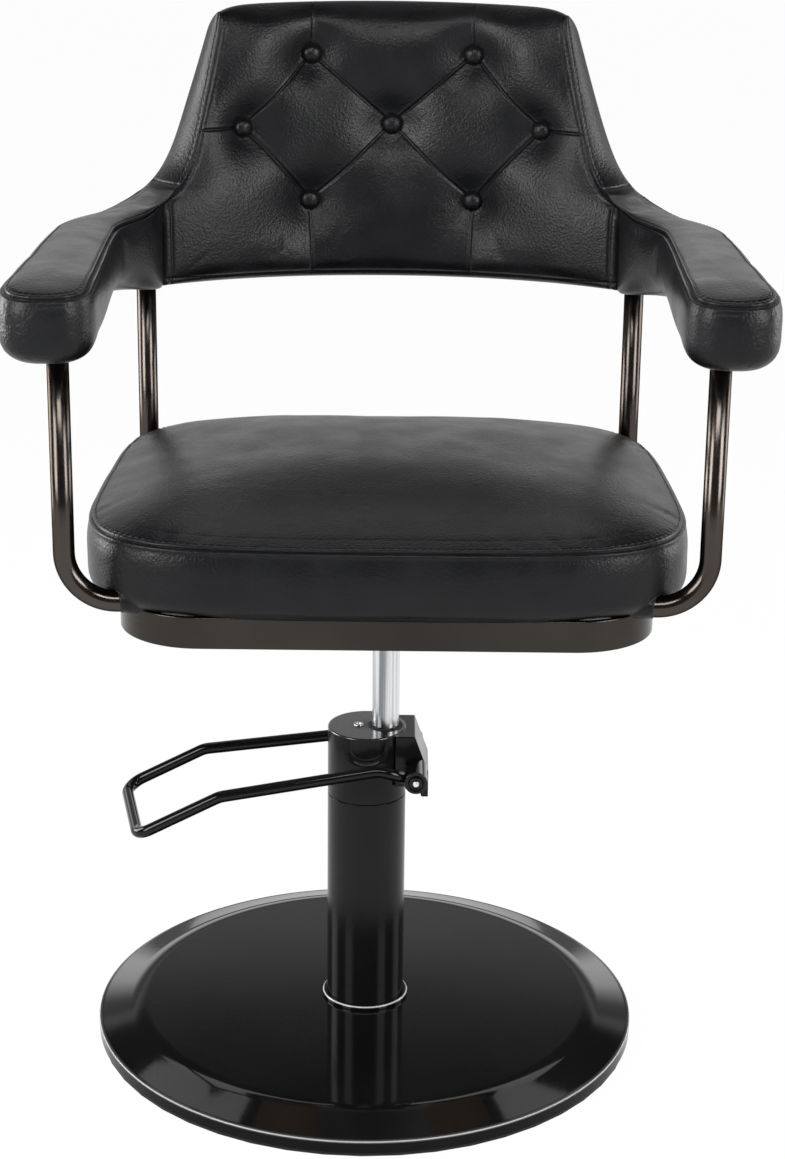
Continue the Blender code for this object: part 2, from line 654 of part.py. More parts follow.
def build_base(finishes):
    """Floor pad, dished base plate, foot flange with its bolts, column and collar."""
    centre = (COLUMN_X, 0.0, 0.0)
    pad = rod_profile(BASE_RADIUS - PAD_INSET, 0.0, PAD_THICKNESS)
    make_object("floor_pad", turned(pad, centre, steps=48), finishes["rubber"])
    slope = [0.25, 0.5, 0.75]
    flat_to_rim = BASE_RADIUS - RIM_ROUND - DISH_FLAT_RADIUS
    upper = [(DISH_FLAT_RADIUS + flat_to_rim * share, RIM_TOP + DISH_RISE * (1 - ease(share)))
             for share in slope]
    lower = [(radius - DISH_WALL / 2, level - DISH_WALL) for radius, level in reversed(upper)]
    hole = COLUMN_RADIUS + CLEARANCE
    rim_inner = BASE_RADIUS - DISH_WALL
    dish_under = DISH_TOP - DISH_WALL
    dish = [(hole, DISH_TOP), (DISH_FLAT_RADIUS, DISH_TOP), *upper, (BASE_RADIUS - RIM_ROUND, RIM_TOP),
            (BASE_RADIUS, RIM_TOP - RIM_ROUND), (BASE_RADIUS, RIM_BOTTOM), (rim_inner, RIM_BOTTOM),
            (rim_inner, RIM_TOP - DISH_WALL), *lower, (DISH_FLAT_RADIUS, dish_under),
            (DISH_HUB_RADIUS, dish_under), (DISH_HUB_RADIUS, DISH_HUB_BOTTOM), (hole, DISH_HUB_BOTTOM)]
    plate = make_object("base_plate", turned(dish, centre, steps=48), finishes["black_enamel"])
    disc = rod_profile(FLANGE_RADIUS, FLANGE_BOTTOM, FLANGE_TOP)
    flange = make_object("foot_flange", turned(disc, centre), finishes["steel"])
    bolt = bolt_profile(BOLT_RADIUS, BOLT_HEAD_RADIUS, BOLT_HEAD_HEIGHT,
                        FLANGE_THICKNESS + CLEARANCE + THREAD_DEPTH)
    for number in range(BASE_BOLT_COUNT):
        angle = math.tau * (number + 0.5) / BASE_BOLT_COUNT
        place = (COLUMN_X + BASE_BOLT_CIRCLE * math.cos(angle), BASE_BOLT_CIRCLE * math.sin(angle),
                 FLANGE_BOTTOM - CLEARANCE)
        make_object(f"base_bolt_{number + 1}", turned(bolt, place, steps=12), finishes["steel"])
        hole_profile = rod_profile(BOLT_RADIUS + CLEARANCE, -THREAD_DEPTH,
                                   FLANGE_THICKNESS + THREAD_DEPTH + 2 * CLEARANCE)
        cut(f"cut_base_bolt_{number + 1}", turned(hole_profile, place, steps=12), flange, plate)
    tube = ring_profile(COLUMN_RADIUS - COLUMN_WALL, COLUMN_RADIUS, COLUMN_BOTTOM, COLUMN_TOP)
    make_object("column_tube", turned(tube, centre, steps=40), finishes["black_enamel"])
    inner = COLUMN_RADIUS + CLEARANCE
    outer = inner + COLLAR_WIDTH
    foot = DISH_TOP + CLEARANCE
    bead = [(inner, foot + COLLAR_HEIGHT), (inner + COLLAR_WIDTH / 2, foot + COLLAR_HEIGHT),
            (outer, foot + COLLAR_HEIGHT / 2), (outer, foot), (inner, foot)]
    make_object("column_collar", turned(bead, centre, steps=32), finishes["black_enamel"])


def build_pump(finishes):
    """Pump head with its bracket and bores, inner cylinder, bush, wiper seal and filler screw."""
    centre = (COLUMN_X, 0.0, 0.0)
    cap = [(0.0, HEAD_TOP), (COLUMN_RADIUS - HEAD_ROUND, HEAD_TOP), (COLUMN_RADIUS, HEAD_TOP - HEAD_ROUND),
           (COLUMN_RADIUS, HEAD_BOTTOM), (0.0, HEAD_BOTTOM)]
    head = make_object("pump_head", turned(cap, centre, steps=40), finishes["black_enamel"])
    roof = HEAD_TOP - BRACKET_STEP
    wall = BRACKET_REACH - BRACKET_WALL
    sides = [[(0.0, roof), (slope, roof), (BRACKET_REACH, HEAD_TOP - BRACKET_SHOULDER_DROP),
              (BRACKET_REACH, HEAD_TOP - BRACKET_FOOT_DROP), (wall, HEAD_TOP - BRACKET_FOOT_DROP),
              (wall, HEAD_TOP - BRACKET_WEB_DROP), (0.0, HEAD_TOP - BRACKET_WEB_DROP)]
             for slope in (BRACKET_SLOPE_FRONT, BRACKET_SLOPE_REAR)]
    join("join_bracket", side_prism(*sides, BRACKET_HALF_DEPTH), head)
    pivot = (PIVOT_X, 0.0, PIVOT_Z)
    forward = (0.0, 1.0, 0.0)
    bore = rod_profile(BUSH_RADIUS + CLEARANCE, HEAD_BOTTOM - HEAD_ROUND, SEAL_TOP + HEAD_ROUND)
    cut("cut_ram_bore", turned(bore, steps=32), head)
    shaft_reach = BRACKET_HALF_DEPTH + HEAD_ROUND
    shaft_hole = rod_profile(SHAFT_RADIUS + CLEARANCE, -shaft_reach, shaft_reach)
    cut("cut_shaft_bore", turned(shaft_hole, pivot, forward, 16), head)
    room = CAM_HALF_WIDTH + CHAMBER_MARGIN
    cam_room = rod_profile(CAM_RADIUS + CHAMBER_MARGIN, -room, room)
    cut("cut_cam_chamber", turned(cam_room, pivot, forward, 20), head)
    swing = CAM_FINGER_LENGTH * math.sin(CAM_START_ANGLE) + CAM_FINGER_HALF + 2 * CHAMBER_MARGIN
    tip = PIVOT_X - CAM_FINGER_LENGTH - CHAMBER_MARGIN
    finger_room = [(tip, PIVOT_Z - swing), (PIVOT_X, PIVOT_Z - swing), (PIVOT_X, PIVOT_Z + swing),
                   (tip, PIVOT_Z + swing)]
    cut("cut_finger_chamber", side_prism(finger_room, finger_room, room - CAM_FINGER_INSET), head)
    place = plunger_place()
    slot = rod_profile(PLUNGER_RADIUS + CLEARANCE, -PLUNGER_LENGTH - PLUNGER_STROKE_ROOM, 0.0)
    cut("cut_plunger_bore", turned(slot, place, steps=12), head)
    filler = (-FILLER_OFFSET, 0.0, HEAD_TOP)
    recess = rod_profile(FILLER_RADIUS + CLEARANCE, -FILLER_DEPTH, FILLER_DEPTH)
    cut("cut_filler", turned(recess, filler, steps=16), head)
    plug = rod_profile(FILLER_RADIUS, -FILLER_DEPTH + CLEARANCE, -FILLER_SINK)
    make_object("filler_screw", turned(plug, filler, steps=16), finishes["chrome"])
    wall_out = RAM_BORE + CYLINDER_WALL
    cylinder = ring_profile(RAM_BORE, wall_out, FLANGE_TOP + CLEARANCE, HEAD_BOTTOM - CLEARANCE)
    make_object("inner_cylinder", turned(cylinder, steps=24), finishes["steel"])
    bush = ring_profile(RAM_RADIUS + CLEARANCE, BUSH_RADIUS, BUSH_TOP - BUSH_LENGTH, BUSH_TOP)
    make_object("ram_bush", turned(bush, steps=24), finishes["brass"])
    seal = ring_profile(RAM_RADIUS + CLEARANCE, BUSH_RADIUS, BUSH_TOP + CLEARANCE, SEAL_TOP)
    make_object("wiper_seal", turned(seal, steps=24), finishes["rubber"])


def plunger_place():
    """The centre of the plunger's top, which the cam's finger rests on."""
    slope = math.tan(CAM_START_ANGLE)
    under_finger = CAM_ARM * slope - CAM_FINGER_HALF / math.cos(CAM_START_ANGLE)
    return (PIVOT_X - CAM_ARM, 0.0, PIVOT_Z + under_finger - PLUNGER_RADIUS * slope - CLEARANCE)


def build_lever(finishes, pedal_axis, plunger_axis):
    """Bent foot lever, its hubs, shaft, end screws and cam, and the plunger under the cam."""
    pivot = (PIVOT_X, 0.0, PIVOT_Z)
    forward = (0.0, 1.0, 0.0)
    rise = np.array((LEVER_RISE_X - PIVOT_X, LEVER_RISE))
    start = rise / np.linalg.norm(rise) * (HUB_RADIUS + CLEARANCE)
    side_line = [(PIVOT_X + start[0], PIVOT_Z + start[1]), (LEVER_RISE_X, PIVOT_Z + LEVER_RISE),
                 (LEVER_BEND_X, PIVOT_Z - LEVER_BEND_FALL), (LEVER_FOOT_X, PIVOT_Z - LEVER_FOOT_FALL)]
    corners = [(x, -LEVER_HALF_SPAN, z) for x, z in side_line]
    root, rise_end, bend_end, foot_end = side_line
    corners += [(foot_end[0] - LEVER_SKEW, LEVER_HALF_SPAN, foot_end[1]),
                (bend_end[0] - LEVER_SKEW, LEVER_HALF_SPAN, bend_end[1]),
                (rise_end[0], LEVER_REAR_ROOT, rise_end[1]), (root[0], LEVER_REAR_ROOT, root[1])]
    radii = [LEVER_BEND_RADIUS, LEVER_BEND_RADIUS, LEVER_CORNER_RADIUS]
    path = rounded_path(corners, radii + radii[::-1], steps=4)
    enamel = finishes["black_enamel"]
    make_object("pedal_lever", loft(rings_along(path, LEVER_RADIUS, 12)), enamel, pedal_axis)
    bar = turned(rod_profile(SHAFT_RADIUS, SHAFT_SINK - HUB_ENDS["front"], HUB_ENDS["rear"] - SHAFT_SINK),
                 pivot, forward, 16)
    shaft = make_object("pedal_shaft", bar, finishes["steel"], pedal_axis)
    for end, sign in ENDS.items():
        near = BRACKET_HALF_DEPTH + CLEARANCE
        hub = ring_profile(SHAFT_RADIUS + CLEARANCE, HUB_RADIUS, near, HUB_ENDS[end])
        make_object(f"pedal_hub_{end}", turned(hub, pivot, (0.0, sign, 0.0), 20), enamel, pedal_axis)
        depth = SHAFT_SINK + THREAD_DEPTH
        screw = bolt_profile(SCREW_RADIUS, HUB_SCREW_HEAD_RADIUS, SCREW_HEAD_HEIGHT, depth)
        place = (PIVOT_X, sign * (HUB_ENDS[end] + CLEARANCE), PIVOT_Z)
        inward = (0.0, -sign, 0.0)
        make_object(f"hub_screw_{end}", turned(screw, place, inward, 16), finishes["chrome"], pedal_axis)
        thread = rod_profile(SCREW_RADIUS + CLEARANCE, -CLEARANCE, depth + CLEARANCE)
        cut(f"cut_hub_screw_{end}", turned(thread, place, inward, 16), shaft)
    disc = turned(rod_profile(CAM_RADIUS, -CAM_HALF_WIDTH, CAM_HALF_WIDTH), pivot, forward, 20)
    cam = make_object("pedal_cam", disc, finishes["steel"], pedal_axis)
    ahead = np.array((-math.cos(CAM_START_ANGLE), math.sin(CAM_START_ANGLE)))
    beside = np.array((ahead[1], -ahead[0])) * CAM_FINGER_HALF
    centre = np.array((PIVOT_X, PIVOT_Z))
    tip = centre + ahead * CAM_FINGER_LENGTH
    finger = [centre - beside, tip - beside, tip + beside, centre + beside]
    join("join_cam_finger", side_prism(finger, finger, CAM_HALF_WIDTH - CAM_FINGER_INSET), cam)
    cam_hole = rod_profile(SHAFT_RADIUS + CLEARANCE, -2 * CAM_HALF_WIDTH, 2 * CAM_HALF_WIDTH)
    cut("cut_cam_bore", turned(cam_hole, pivot, forward, 16), cam)
    pin = turned(rod_profile(PLUNGER_RADIUS, -PLUNGER_LENGTH, 0.0), plunger_place(), steps=12)
    make_object("pump_plunger", pin, finishes["steel"], plunger_axis)


def build_ram(finishes, ram_axis):
    """Chromed ram with its piston and piston seal."""
    bar = turned(rod_profile(RAM_RADIUS, RAM_BOTTOM, RAM_TOP), steps=32)
    make_object("ram", bar, finishes["chrome"], ram_axis)
    bottom = PISTON_TOP - PISTON_LENGTH
    middle = PISTON_TOP - PISTON_LENGTH / 2
    groove_top = middle + PISTON_GROOVE_HEIGHT / 2
    groove_low = middle - PISTON_GROOVE_HEIGHT / 2
    waist = PISTON_RADIUS - PISTON_GROOVE_DEPTH
    piston = [(0.0, PISTON_TOP), (PISTON_RADIUS, PISTON_TOP), (PISTON_RADIUS, groove_top),
              (waist, groove_top), (waist, groove_low), (PISTON_RADIUS, groove_low),
              (PISTON_RADIUS, bottom), (0.0, bottom)]
    make_object("ram_piston", turned(piston, steps=24), finishes["steel"], ram_axis)
    seal = ring_profile(waist + CLEARANCE, PISTON_RADIUS, groove_low + CLEARANCE, groove_top - CLEARANCE)
    make_object("piston_seal", turned(seal, steps=24), finishes["rubber"], ram_axis)


def build_seat_frame(finishes, seat_axis):
    """Seat socket, plate, rails, hoops of tube, band and seat board, with the bolts between them."""
    socket = [(0.0, SOCKET_TOP), (SOCKET_RADIUS, SOCKET_TOP), (SOCKET_RADIUS, SOCKET_BOTTOM),
              (RAM_RADIUS + CLEARANCE, SOCKET_BOTTOM), (RAM_RADIUS + CLEARANCE, RAM_TOP + CLEARANCE),
              (0.0, RAM_TOP + CLEARANCE)]
    make_object("seat_socket", turned(socket, steps=32), finishes["steel"], seat_axis)
    half = SEAT_PLATE_SIDE / 2
    square = rounded_rectangle(-half, half, -half, half, SEAT_PLATE_CORNER, 4)
    steel = finishes["steel"]
    plate = make_object("seat_plate", prism(square, SEAT_PLATE_HEIGHT, PLATE_TOP), steel, seat_axis)
    hoops = {}
    hoop_cutters = {}
    for end, x, y, top in (("front", FRONT_TUBE_X, FRONT_TUBE_Y, FRONT_TUBE_TOP),
                           ("rear", REAR_TUBE_X, REAR_TUBE_Y, REAR_TUBE_TOP)):
        bends = (TUBE_BEND_RADIUS, TUBE_BEND_RADIUS)
        path = rounded_path([(-x, y, top), (-x, y, RUN_Z), (x, y, RUN_Z), (x, y, top)], bends)
        outer = rings_along(path, TUBE_RADIUS, TUBE_SIDES)
        inner = rings_along(path, TUBE_RADIUS - TUBE_WALL, TUBE_SIDES)
        shell = np.concatenate((outer, inner[::-1]))
        hoops[end] = make_object(f"{end}_hoop", loft(shell, joined=True), finishes["gunmetal"], seat_axis)
        grown_top = top + CLEARANCE
        reach = rounded_path([(-x, y, grown_top), (-x, y, RUN_Z), (x, y, RUN_Z), (x, y, grown_top)], bends)
        grown = loft(rings_along(reach, TUBE_RADIUS + CLEARANCE, TUBE_SIDES))
        hoop_cutters[end] = make_cutter(f"cut_{end}_hoop", grown)
    corners = (BAND_HALF_WIDTH, BAND_FRONT_Y, BAND_REAR_Y, BAND_CORNER_RADIUS)
    loops = []
    for inset, levels in ((0.0, (BAND_BOTTOM, BAND_TOP)), (BAND_THICKNESS, (BAND_TOP, BAND_BOTTOM))):
        wide = corners[0] - inset
        outline = rounded_rectangle(-wide, wide, corners[1] + inset, corners[2] - inset, corners[3] - inset)
        loops += [[(px, py, level) for px, py in outline] for level in levels]
    band = make_object("seat_band", loft(loops, joined=True), finishes["gunmetal"], seat_axis)
    panel = prism(seat_outline(SEAT_BOARD_INSET), SEAT_BOARD_BOTTOM, SEAT_BOARD_TOP)
    board = make_object("seat_board", panel, finishes["plywood"], seat_axis)
    cushion = make_object("seat_cushion", seat_cushion_shape(), finishes["leather"], seat_axis)
    for cutter in hoop_cutters.values():
        combine(band, cutter, "DIFFERENCE")
        combine(cushion, cutter, "DIFFERENCE")
    rail_front = BAND_FRONT_Y + BAND_THICKNESS + CLEARANCE
    rail_rear = BAND_REAR_Y - BAND_THICKNESS - CLEARANCE
    for name, side in SIDES.items():
        x = side * RAIL_SPACING / 2
        half = RAIL_WIDTH / 2
        outline = rounded_rectangle(x - half, x + half, rail_front, rail_rear, RAIL_CORNER, 2)
        rail = make_object(f"seat_rail_{name}", prism(outline, RAIL_BOTTOM, RAIL_TOP), steel, seat_axis)
        for end, sign in ENDS.items():
            place = (x, sign * PLATE_BOLT_SPACING / 2, SEAT_PLATE_HEIGHT - CLEARANCE)
            length = RAIL_BOTTOM - SEAT_PLATE_HEIGHT + CLEARANCE + PLATE_BOLT_DEPTH
            add_bolt(f"plate_bolt_{end}_{name}", place, length, steel, seat_axis, (plate, rail))
            place = (x, FRONT_TUBE_Y if end == "front" else REAR_TUBE_Y, RAIL_BOTTOM - CLEARANCE)
            length = SEAT_BOARD_BOTTOM - RAIL_BOTTOM + CLEARANCE + FRAME_BOLT_DEPTH
            held = (rail, hoops[end], board)
            add_bolt(f"frame_bolt_{end}_{name}", place, length, steel, seat_axis, held)
    return hoops, hoop_cutters


def add_bolt(name, place, length, finish, axis, pieces):
    """A bolt whose head hangs at a place, and its hole in the pieces that it passes through."""
    profile = bolt_profile(BOLT_RADIUS, BOLT_HEAD_RADIUS, BOLT_HEAD_HEIGHT, length)
    make_object(name, turned(profile, place, steps=12), finish, axis)
    hole = rod_profile(BOLT_RADIUS + CLEARANCE, -CLEARANCE, length + CLEARANCE)
    cut(f"cut_{name}", turned(hole, place, steps=12), *pieces)


def seat_cushion_shape():
    """Crowned top panel, bulging boxing, rolled lower edge and the recess that the seat board sits in."""
    rings = []
    seam = seat_outline(SEAT_SEAM_INSET)
    for share in (0.12, 0.36, 0.58, 0.76, 0.88, 0.96, 1.0):
        level = SEAT_SEAM_Z + SEAT_CROWN * (1 - share**SEAT_CROWN_POWER)
        rings.append([(x * share, y * share, level) for x, y in seam])
    boxing = ((0.03, 0.80), (0.0, 0.60), (0.05, 0.40), (0.22, 0.20), (0.52, 0.07), (1.0, 0.0))
    for inset_share, height in boxing:
        level = SEAT_LOW_Z + SEAT_SIDE_HEIGHT * height
        rings.append([(x, y, level) for x, y in seat_outline(SEAT_ROLL_INSET * inset_share)])
    recess = seat_outline(SEAT_BOARD_INSET - CLEARANCE)
    for level in (SEAT_LOW_Z, SEAT_BOARD_TOP + CLEARANCE):
        rings.append([(x, y, level) for x, y in recess])
    return loft(rings)


def build_arms(finishes, seat_axis, hoops, hoop_cutters):
    """Arm pads, the boards let into them, and the screws that hold the front tubes."""
    for name, side in SIDES.items():
        pad = make_object(f"arm_pad_{name}", loft(arm_rings(side)), finishes["leather"], seat_axis)
        centre = side * FRONT_TUBE_X
        half = ARM_BOARD_WIDTH / 2
        front = ARM_FRONT_Y + ARM_BOARD_FRONT_INSET
        rear = ARM_BOARD_REAR_Y
        top = ARM_BOARD_BOTTOM + ARM_BOARD_THICKNESS
        outline = rounded_rectangle(centre - half, centre + half, front, rear, ARM_BOARD_CORNER, 3)
        panel = prism(outline, ARM_BOARD_BOTTOM, top)
        board = make_object(f"arm_board_{name}", panel, finishes["plywood"], seat_axis)
        combine(board, hoop_cutters["front"], "DIFFERENCE")
        grown = half + CLEARANCE
        outline = rounded_rectangle(centre - grown, centre + grown, front - CLEARANCE, rear + CLEARANCE,
                                    ARM_BOARD_CORNER, 3)
        pocket = prism(outline, ARM_LOW_Z - ARM_BOARD_THICKNESS, top + CLEARANCE)
        cut(f"cut_arm_board_{name}", pocket, pad)
        length = half - SCREW_HEAD_HEIGHT
        place = (centre + side * length, FRONT_TUBE_Y, ARM_BOARD_BOTTOM + ARM_SCREW_RISE)
        inward = (-side, 0.0, 0.0)
        screw = bolt_profile(SCREW_RADIUS, SCREW_HEAD_RADIUS, SCREW_HEAD_HEIGHT, length)
        make_object(f"arm_screw_{name}", turned(screw, place, inward, 12), finishes["steel"], seat_axis)
        hole = bolt_profile(SCREW_RADIUS + CLEARANCE, SCREW_HEAD_RADIUS + CLEARANCE,
                            SCREW_HEAD_HEIGHT + ARM_BOARD_CORNER, length + CLEARANCE)
        place = (place[0] - side * CLEARANCE, place[1], place[2])
        cut(f"cut_arm_screw_{name}", turned(hole, place, inward, 12), board, hoops["front"])


def build_back(finishes, seat_axis, hoops, hoop_cutters):
    """Tufted back pad, its core board, the bolts that hold the rear tubes, and the covered buttons."""
    pad = make_object("back_pad", slab(*back_grids()), finishes["leather"], seat_axis)
    panel = slab(*back_board_grids(0.0, BACK_BOARD_LIFT))
    board = make_object("back_board", panel, finishes["plywood"], seat_axis)
    cut("cut_back_board", slab(*back_board_grids(CLEARANCE, -BACK_BOARD_DEPTH)), pad)
    combine(pad, hoop_cutters["rear"], "DIFFERENCE")
    level = ARM_LOW_Z + BACK_BOLT_RISE
    lean_gap = BACK_LEAN * (REAR_TUBE_TOP - level)
    length = 2 * (TUBE_RADIUS + CLEARANCE) + lean_gap + BACK_BOLT_GRIP
    for name, side in SIDES.items():
        rearward = np.array((side * math.sin(REAR_TUBE_ANGLE), math.cos(REAR_TUBE_ANGLE), 0.0))
        place = np.array((side * REAR_TUBE_X, REAR_TUBE_Y, level)) + rearward * (TUBE_RADIUS + CLEARANCE)
        bolt = bolt_profile(BACK_BOLT_RADIUS, BACK_BOLT_HEAD_RADIUS, BACK_BOLT_HEAD_HEIGHT, length)
        make_object(f"back_bolt_{name}", turned(bolt, place, -rearward, 12), finishes["steel"], seat_axis)
        hole = bolt_profile(BACK_BOLT_RADIUS + CLEARANCE, BACK_BOLT_HEAD_RADIUS + CLEARANCE,
                            BACK_BOLT_HEAD_HEIGHT + CLEARANCE, length + CLEARANCE)
        seat = place - rearward * CLEARANCE
        cut(f"cut_back_bolt_{name}", turned(hole, seat, -rearward, 12), pad, board)
        shank = rod_profile(BACK_BOLT_RADIUS + CLEARANCE, -TUBE_RADIUS, length)
        cut(f"cut_rear_tube_{name}", turned(shank, place, -rearward, 12), hoops["rear"])
    shares = ((0.0, 1.0), (0.3, 1.0), (0.62, 0.85), (0.86, 0.58), (1.0, 0.2), (1.0, 0.0), (0.0, 0.0))
    dome = [(BUTTON_RADIUS * wide, BUTTON_HEIGHT * tall) for wide, tall in shares]
    for number, (x, z) in enumerate(button_places()):
        sine = x / BACK_RADIUS
        forward = np.array((-sine, -math.sqrt(1 - sine**2), 0.0))
        floor = back_point(x, z, BUTTON_SINK)
        make_object(f"back_button_{number + 1}", turned(dome, floor + forward * CLEARANCE, forward, 16),
                    finishes["leather"], seat_axis)
        recess = rod_profile(BUTTON_RADIUS + CLEARANCE, 0.0, BACK_PUFF + BACK_BOARD_DEPTH)
        cut(f"cut_back_button_{number + 1}", turned(recess, floor, forward, 16), pad)


def build_chair():
    """Every piece of the chair, hung from the axes of its joints."""
    finishes = {
        "black_enamel": make_finish("black enamel", (0.012, 0.012, 0.013), 0.18, 0.0),
        "rubber": make_finish("rubber", (0.02, 0.02, 0.02), 0.8, 0.0),
        "steel": make_finish("steel", (0.35, 0.35, 0.36), 0.4, 1.0),
        "chrome": make_finish("satin chrome", (0.72, 0.73, 0.75), 0.22, 1.0),
        "brass": make_finish("bearing brass", (0.6, 0.45, 0.2), 0.4, 1.0),
        "gunmetal": make_finish("gunmetal plating", (0.16, 0.14, 0.13), 0.25, 1.0),
        "plywood": make_finish("plywood", (0.5, 0.36, 0.22), 0.7, 0.0),
        "leather": make_finish("black leather", (0.018, 0.018, 0.02), 0.42, 0.0),
    }
    ram_axis = make_axis("ram_axis", (0.0, 0.0, 0.0))
    seat_axis = make_axis("seat_axis", (0.0, 0.0, 0.0), ram_axis)
    pedal_axis = make_axis("pedal_axis", (PIVOT_X, 0.0, PIVOT_Z))
    plunger_axis = make_axis("plunger_axis", plunger_place())
    build_base(finishes)
    build_pump(finishes)
    build_lever(finishes, pedal_axis, plunger_axis)
    build_ram(finishes, ram_axis)
    hoops, hoop_cutters = build_seat_frame(finishes, seat_axis)
    build_arms(finishes, seat_axis, hoops, hoop_cutters)
    build_back(finishes, seat_axis, hoops, hoop_cutters)


clear_scene()
build_chair()
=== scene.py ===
import math

import bmesh
import bpy
import numpy as np
from mathutils import Matrix, Vector


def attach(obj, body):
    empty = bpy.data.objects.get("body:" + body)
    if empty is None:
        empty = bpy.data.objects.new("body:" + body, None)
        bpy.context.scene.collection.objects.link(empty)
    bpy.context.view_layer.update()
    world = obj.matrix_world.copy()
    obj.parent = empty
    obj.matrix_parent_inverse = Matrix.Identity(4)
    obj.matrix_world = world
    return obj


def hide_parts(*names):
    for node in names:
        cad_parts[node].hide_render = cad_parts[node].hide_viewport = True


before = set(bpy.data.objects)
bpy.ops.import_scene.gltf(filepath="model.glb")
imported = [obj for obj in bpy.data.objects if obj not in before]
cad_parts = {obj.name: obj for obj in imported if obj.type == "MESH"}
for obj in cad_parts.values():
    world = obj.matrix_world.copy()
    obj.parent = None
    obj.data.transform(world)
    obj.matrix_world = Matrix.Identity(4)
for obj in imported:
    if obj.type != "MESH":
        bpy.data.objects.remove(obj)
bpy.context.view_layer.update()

# Base: a steel plate spun to a shallow dish with an upright rim, enamelled gloss black. A rubber pad is
# glued under it, and a steel flange is bolted up from below to hold the foot of the column.

base_axis = np.array((-0.018, 0.0, 0.0))
upward = np.array((0.0, 0.0, 1.0))
edge_break = 0.0006


def unit(vectors):
    """The same directions, each with a length of one."""
    return vectors / np.linalg.norm(vectors, axis=-1, keepdims=True)


def rounded_path(corners, radii, steps=8):
    """Straight runs joined by arcs: at each inner corner an arc of the given radius touches both runs, with
    one more point just before and just after it, which keeps the runs straight when they are shaded."""
    corners = np.array(corners, float)
    share = np.linspace(0.0, 1.0, steps + 1)[:, None]
    path = [corners[:1]]
    for before, corner, after, radius in zip(corners, corners[1:], corners[2:], radii):
        come = unit(corner - before)
        leave = unit(after - corner)
        bend = math.acos(np.clip(come @ leave, -1.0, 1.0))
        inward = unit(leave - come * (come @ leave))
        reach = radius * math.tan(bend / 2)
        centre = corner - come * reach + inward * radius
        path.append((corner - come * 1.12 * reach)[None])
        path.append(centre - inward * radius * np.cos(bend * share) + come * radius * np.sin(bend * share))
        path.append((corner + leave * 1.12 * reach)[None])
    path.append(corners[-1:])
    return np.concatenate(path)


def turned(profile, centre, along, steps):
    """A profile turned round a line: each (radius, height) point goes to the centre, plus the radius times
    a spoke of the circle across the line, plus the height along the line."""
    profile = np.array(profile, float)
    helper = np.array((0.0, 1.0, 0.0)) if abs(along[1]) < 0.9 else np.array((1.0, 0.0, 0.0))
    first = unit(np.cross(helper, along))
    second = np.cross(along, first)
    angle = np.linspace(0.0, math.tau, steps, endpoint=False)
    spokes = np.outer(np.cos(angle), first) + np.outer(np.sin(angle), second)
    return centre + profile[:, :1, None] * spokes + profile[:, 1:, None] * along


def grid_quads(index):
    """The quad between each four neighbours in a grid of point numbers."""
    return np.stack((index[:-1, :-1], index[:-1, 1:], index[1:, 1:], index[1:, :-1]), -1).reshape(-1, 4)


def turns_inward(points, triangles):
    """Whether faces turn inwards: the volume enclosed, a sum of triple products, is then below zero."""
    corners = points[triangles] - points.mean(0)
    return np.einsum("ij,ij->", corners[:, 0], np.cross(corners[:, 1], corners[:, 2])) < 0


def place_in_scene(name, data):
    """An object with the given mesh, lamp or camera, linked into the scene."""
    piece = bpy.data.objects.new(name, data)
    bpy.context.scene.collection.objects.link(piece)
    return piece


def skin(name, grid, wrap_rows=False, wrap_columns=True, caps=True):
    """The mesh of a grid of points: a quad between each four neighbours, joined round where asked, with each
    end row closed by a fan on its middle, and with its faces turned outwards."""
    rows, columns = grid.shape[:2]
    points = grid.reshape(-1, 3)
    index = np.arange(rows * columns).reshape(rows, columns)
    if wrap_rows:
        index = np.vstack((index, index[:1]))
    if wrap_columns:
        index = np.hstack((index, index[:, :1]))
    quads = grid_quads(index)
    fans = np.zeros((0, 3), int)
    if caps:
        hub = np.full(index.shape[1] - 1, len(points))
        first = np.column_stack((index[0, 1:], index[0, :-1], hub))
        last = np.column_stack((index[-1, :-1], index[-1, 1:], hub + 1))
        fans = np.vstack((first, last))
        points = np.vstack((points, grid[0].mean(0), grid[-1].mean(0)))
    if turns_inward(points, np.vstack((quads[:, :3], quads[:, [0, 2, 3]], fans))):
        quads = quads[:, ::-1]
        fans = fans[:, ::-1]
    loops = np.concatenate((quads.ravel(), fans.ravel())).astype(np.int32)
    starts = np.concatenate((4 * np.arange(len(quads)), 4 * len(quads) + 3 * np.arange(len(fans))))
    mesh = bpy.data.meshes.new(name)
    mesh.vertices.add(len(points))
    mesh.vertices.foreach_set("co", points.astype(np.float32).ravel())
    mesh.loops.add(len(loops))
    mesh.loops.foreach_set("vertex_index", loops)
    mesh.polygons.add(len(starts))
    mesh.polygons.foreach_set("loop_start", starts.astype(np.int32))
    mesh.update(calc_edges=True)
    mesh.shade_smooth()
    return place_in_scene(name, mesh)


def lathe(name, profile, centre, along, steps):
    """A ring: a closed profile turned round a line."""
    return skin(name, turned(profile, centre, along, steps), wrap_rows=True, caps=False)


def fit(piece, material, body, slot, *nodes):
    """Gives a piece its material and the body that it moves with, and hides the CAD nodes it stands for. The
    slot is not used.
    """
    piece.data.materials.append(material)
    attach(piece, body)
    if nodes:
        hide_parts(*nodes)
    return piece


def paint(material, *names):
    """Puts a material into each slot of the named CAD nodes."""
    for name in names:
        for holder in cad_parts[name].material_slots:
            holder.material = material


def start_material(name, constants):
    """A node material. What is the same all over goes straight onto the shader's own sockets."""
    material = bpy.data.materials.new(name)
    material.use_nodes = True
    tree = material.node_tree
    shader = tree.nodes["Principled BSDF"]
    for socket, value in constants.items():
        shader.inputs[socket].default_value = value
    return material, tree, shader


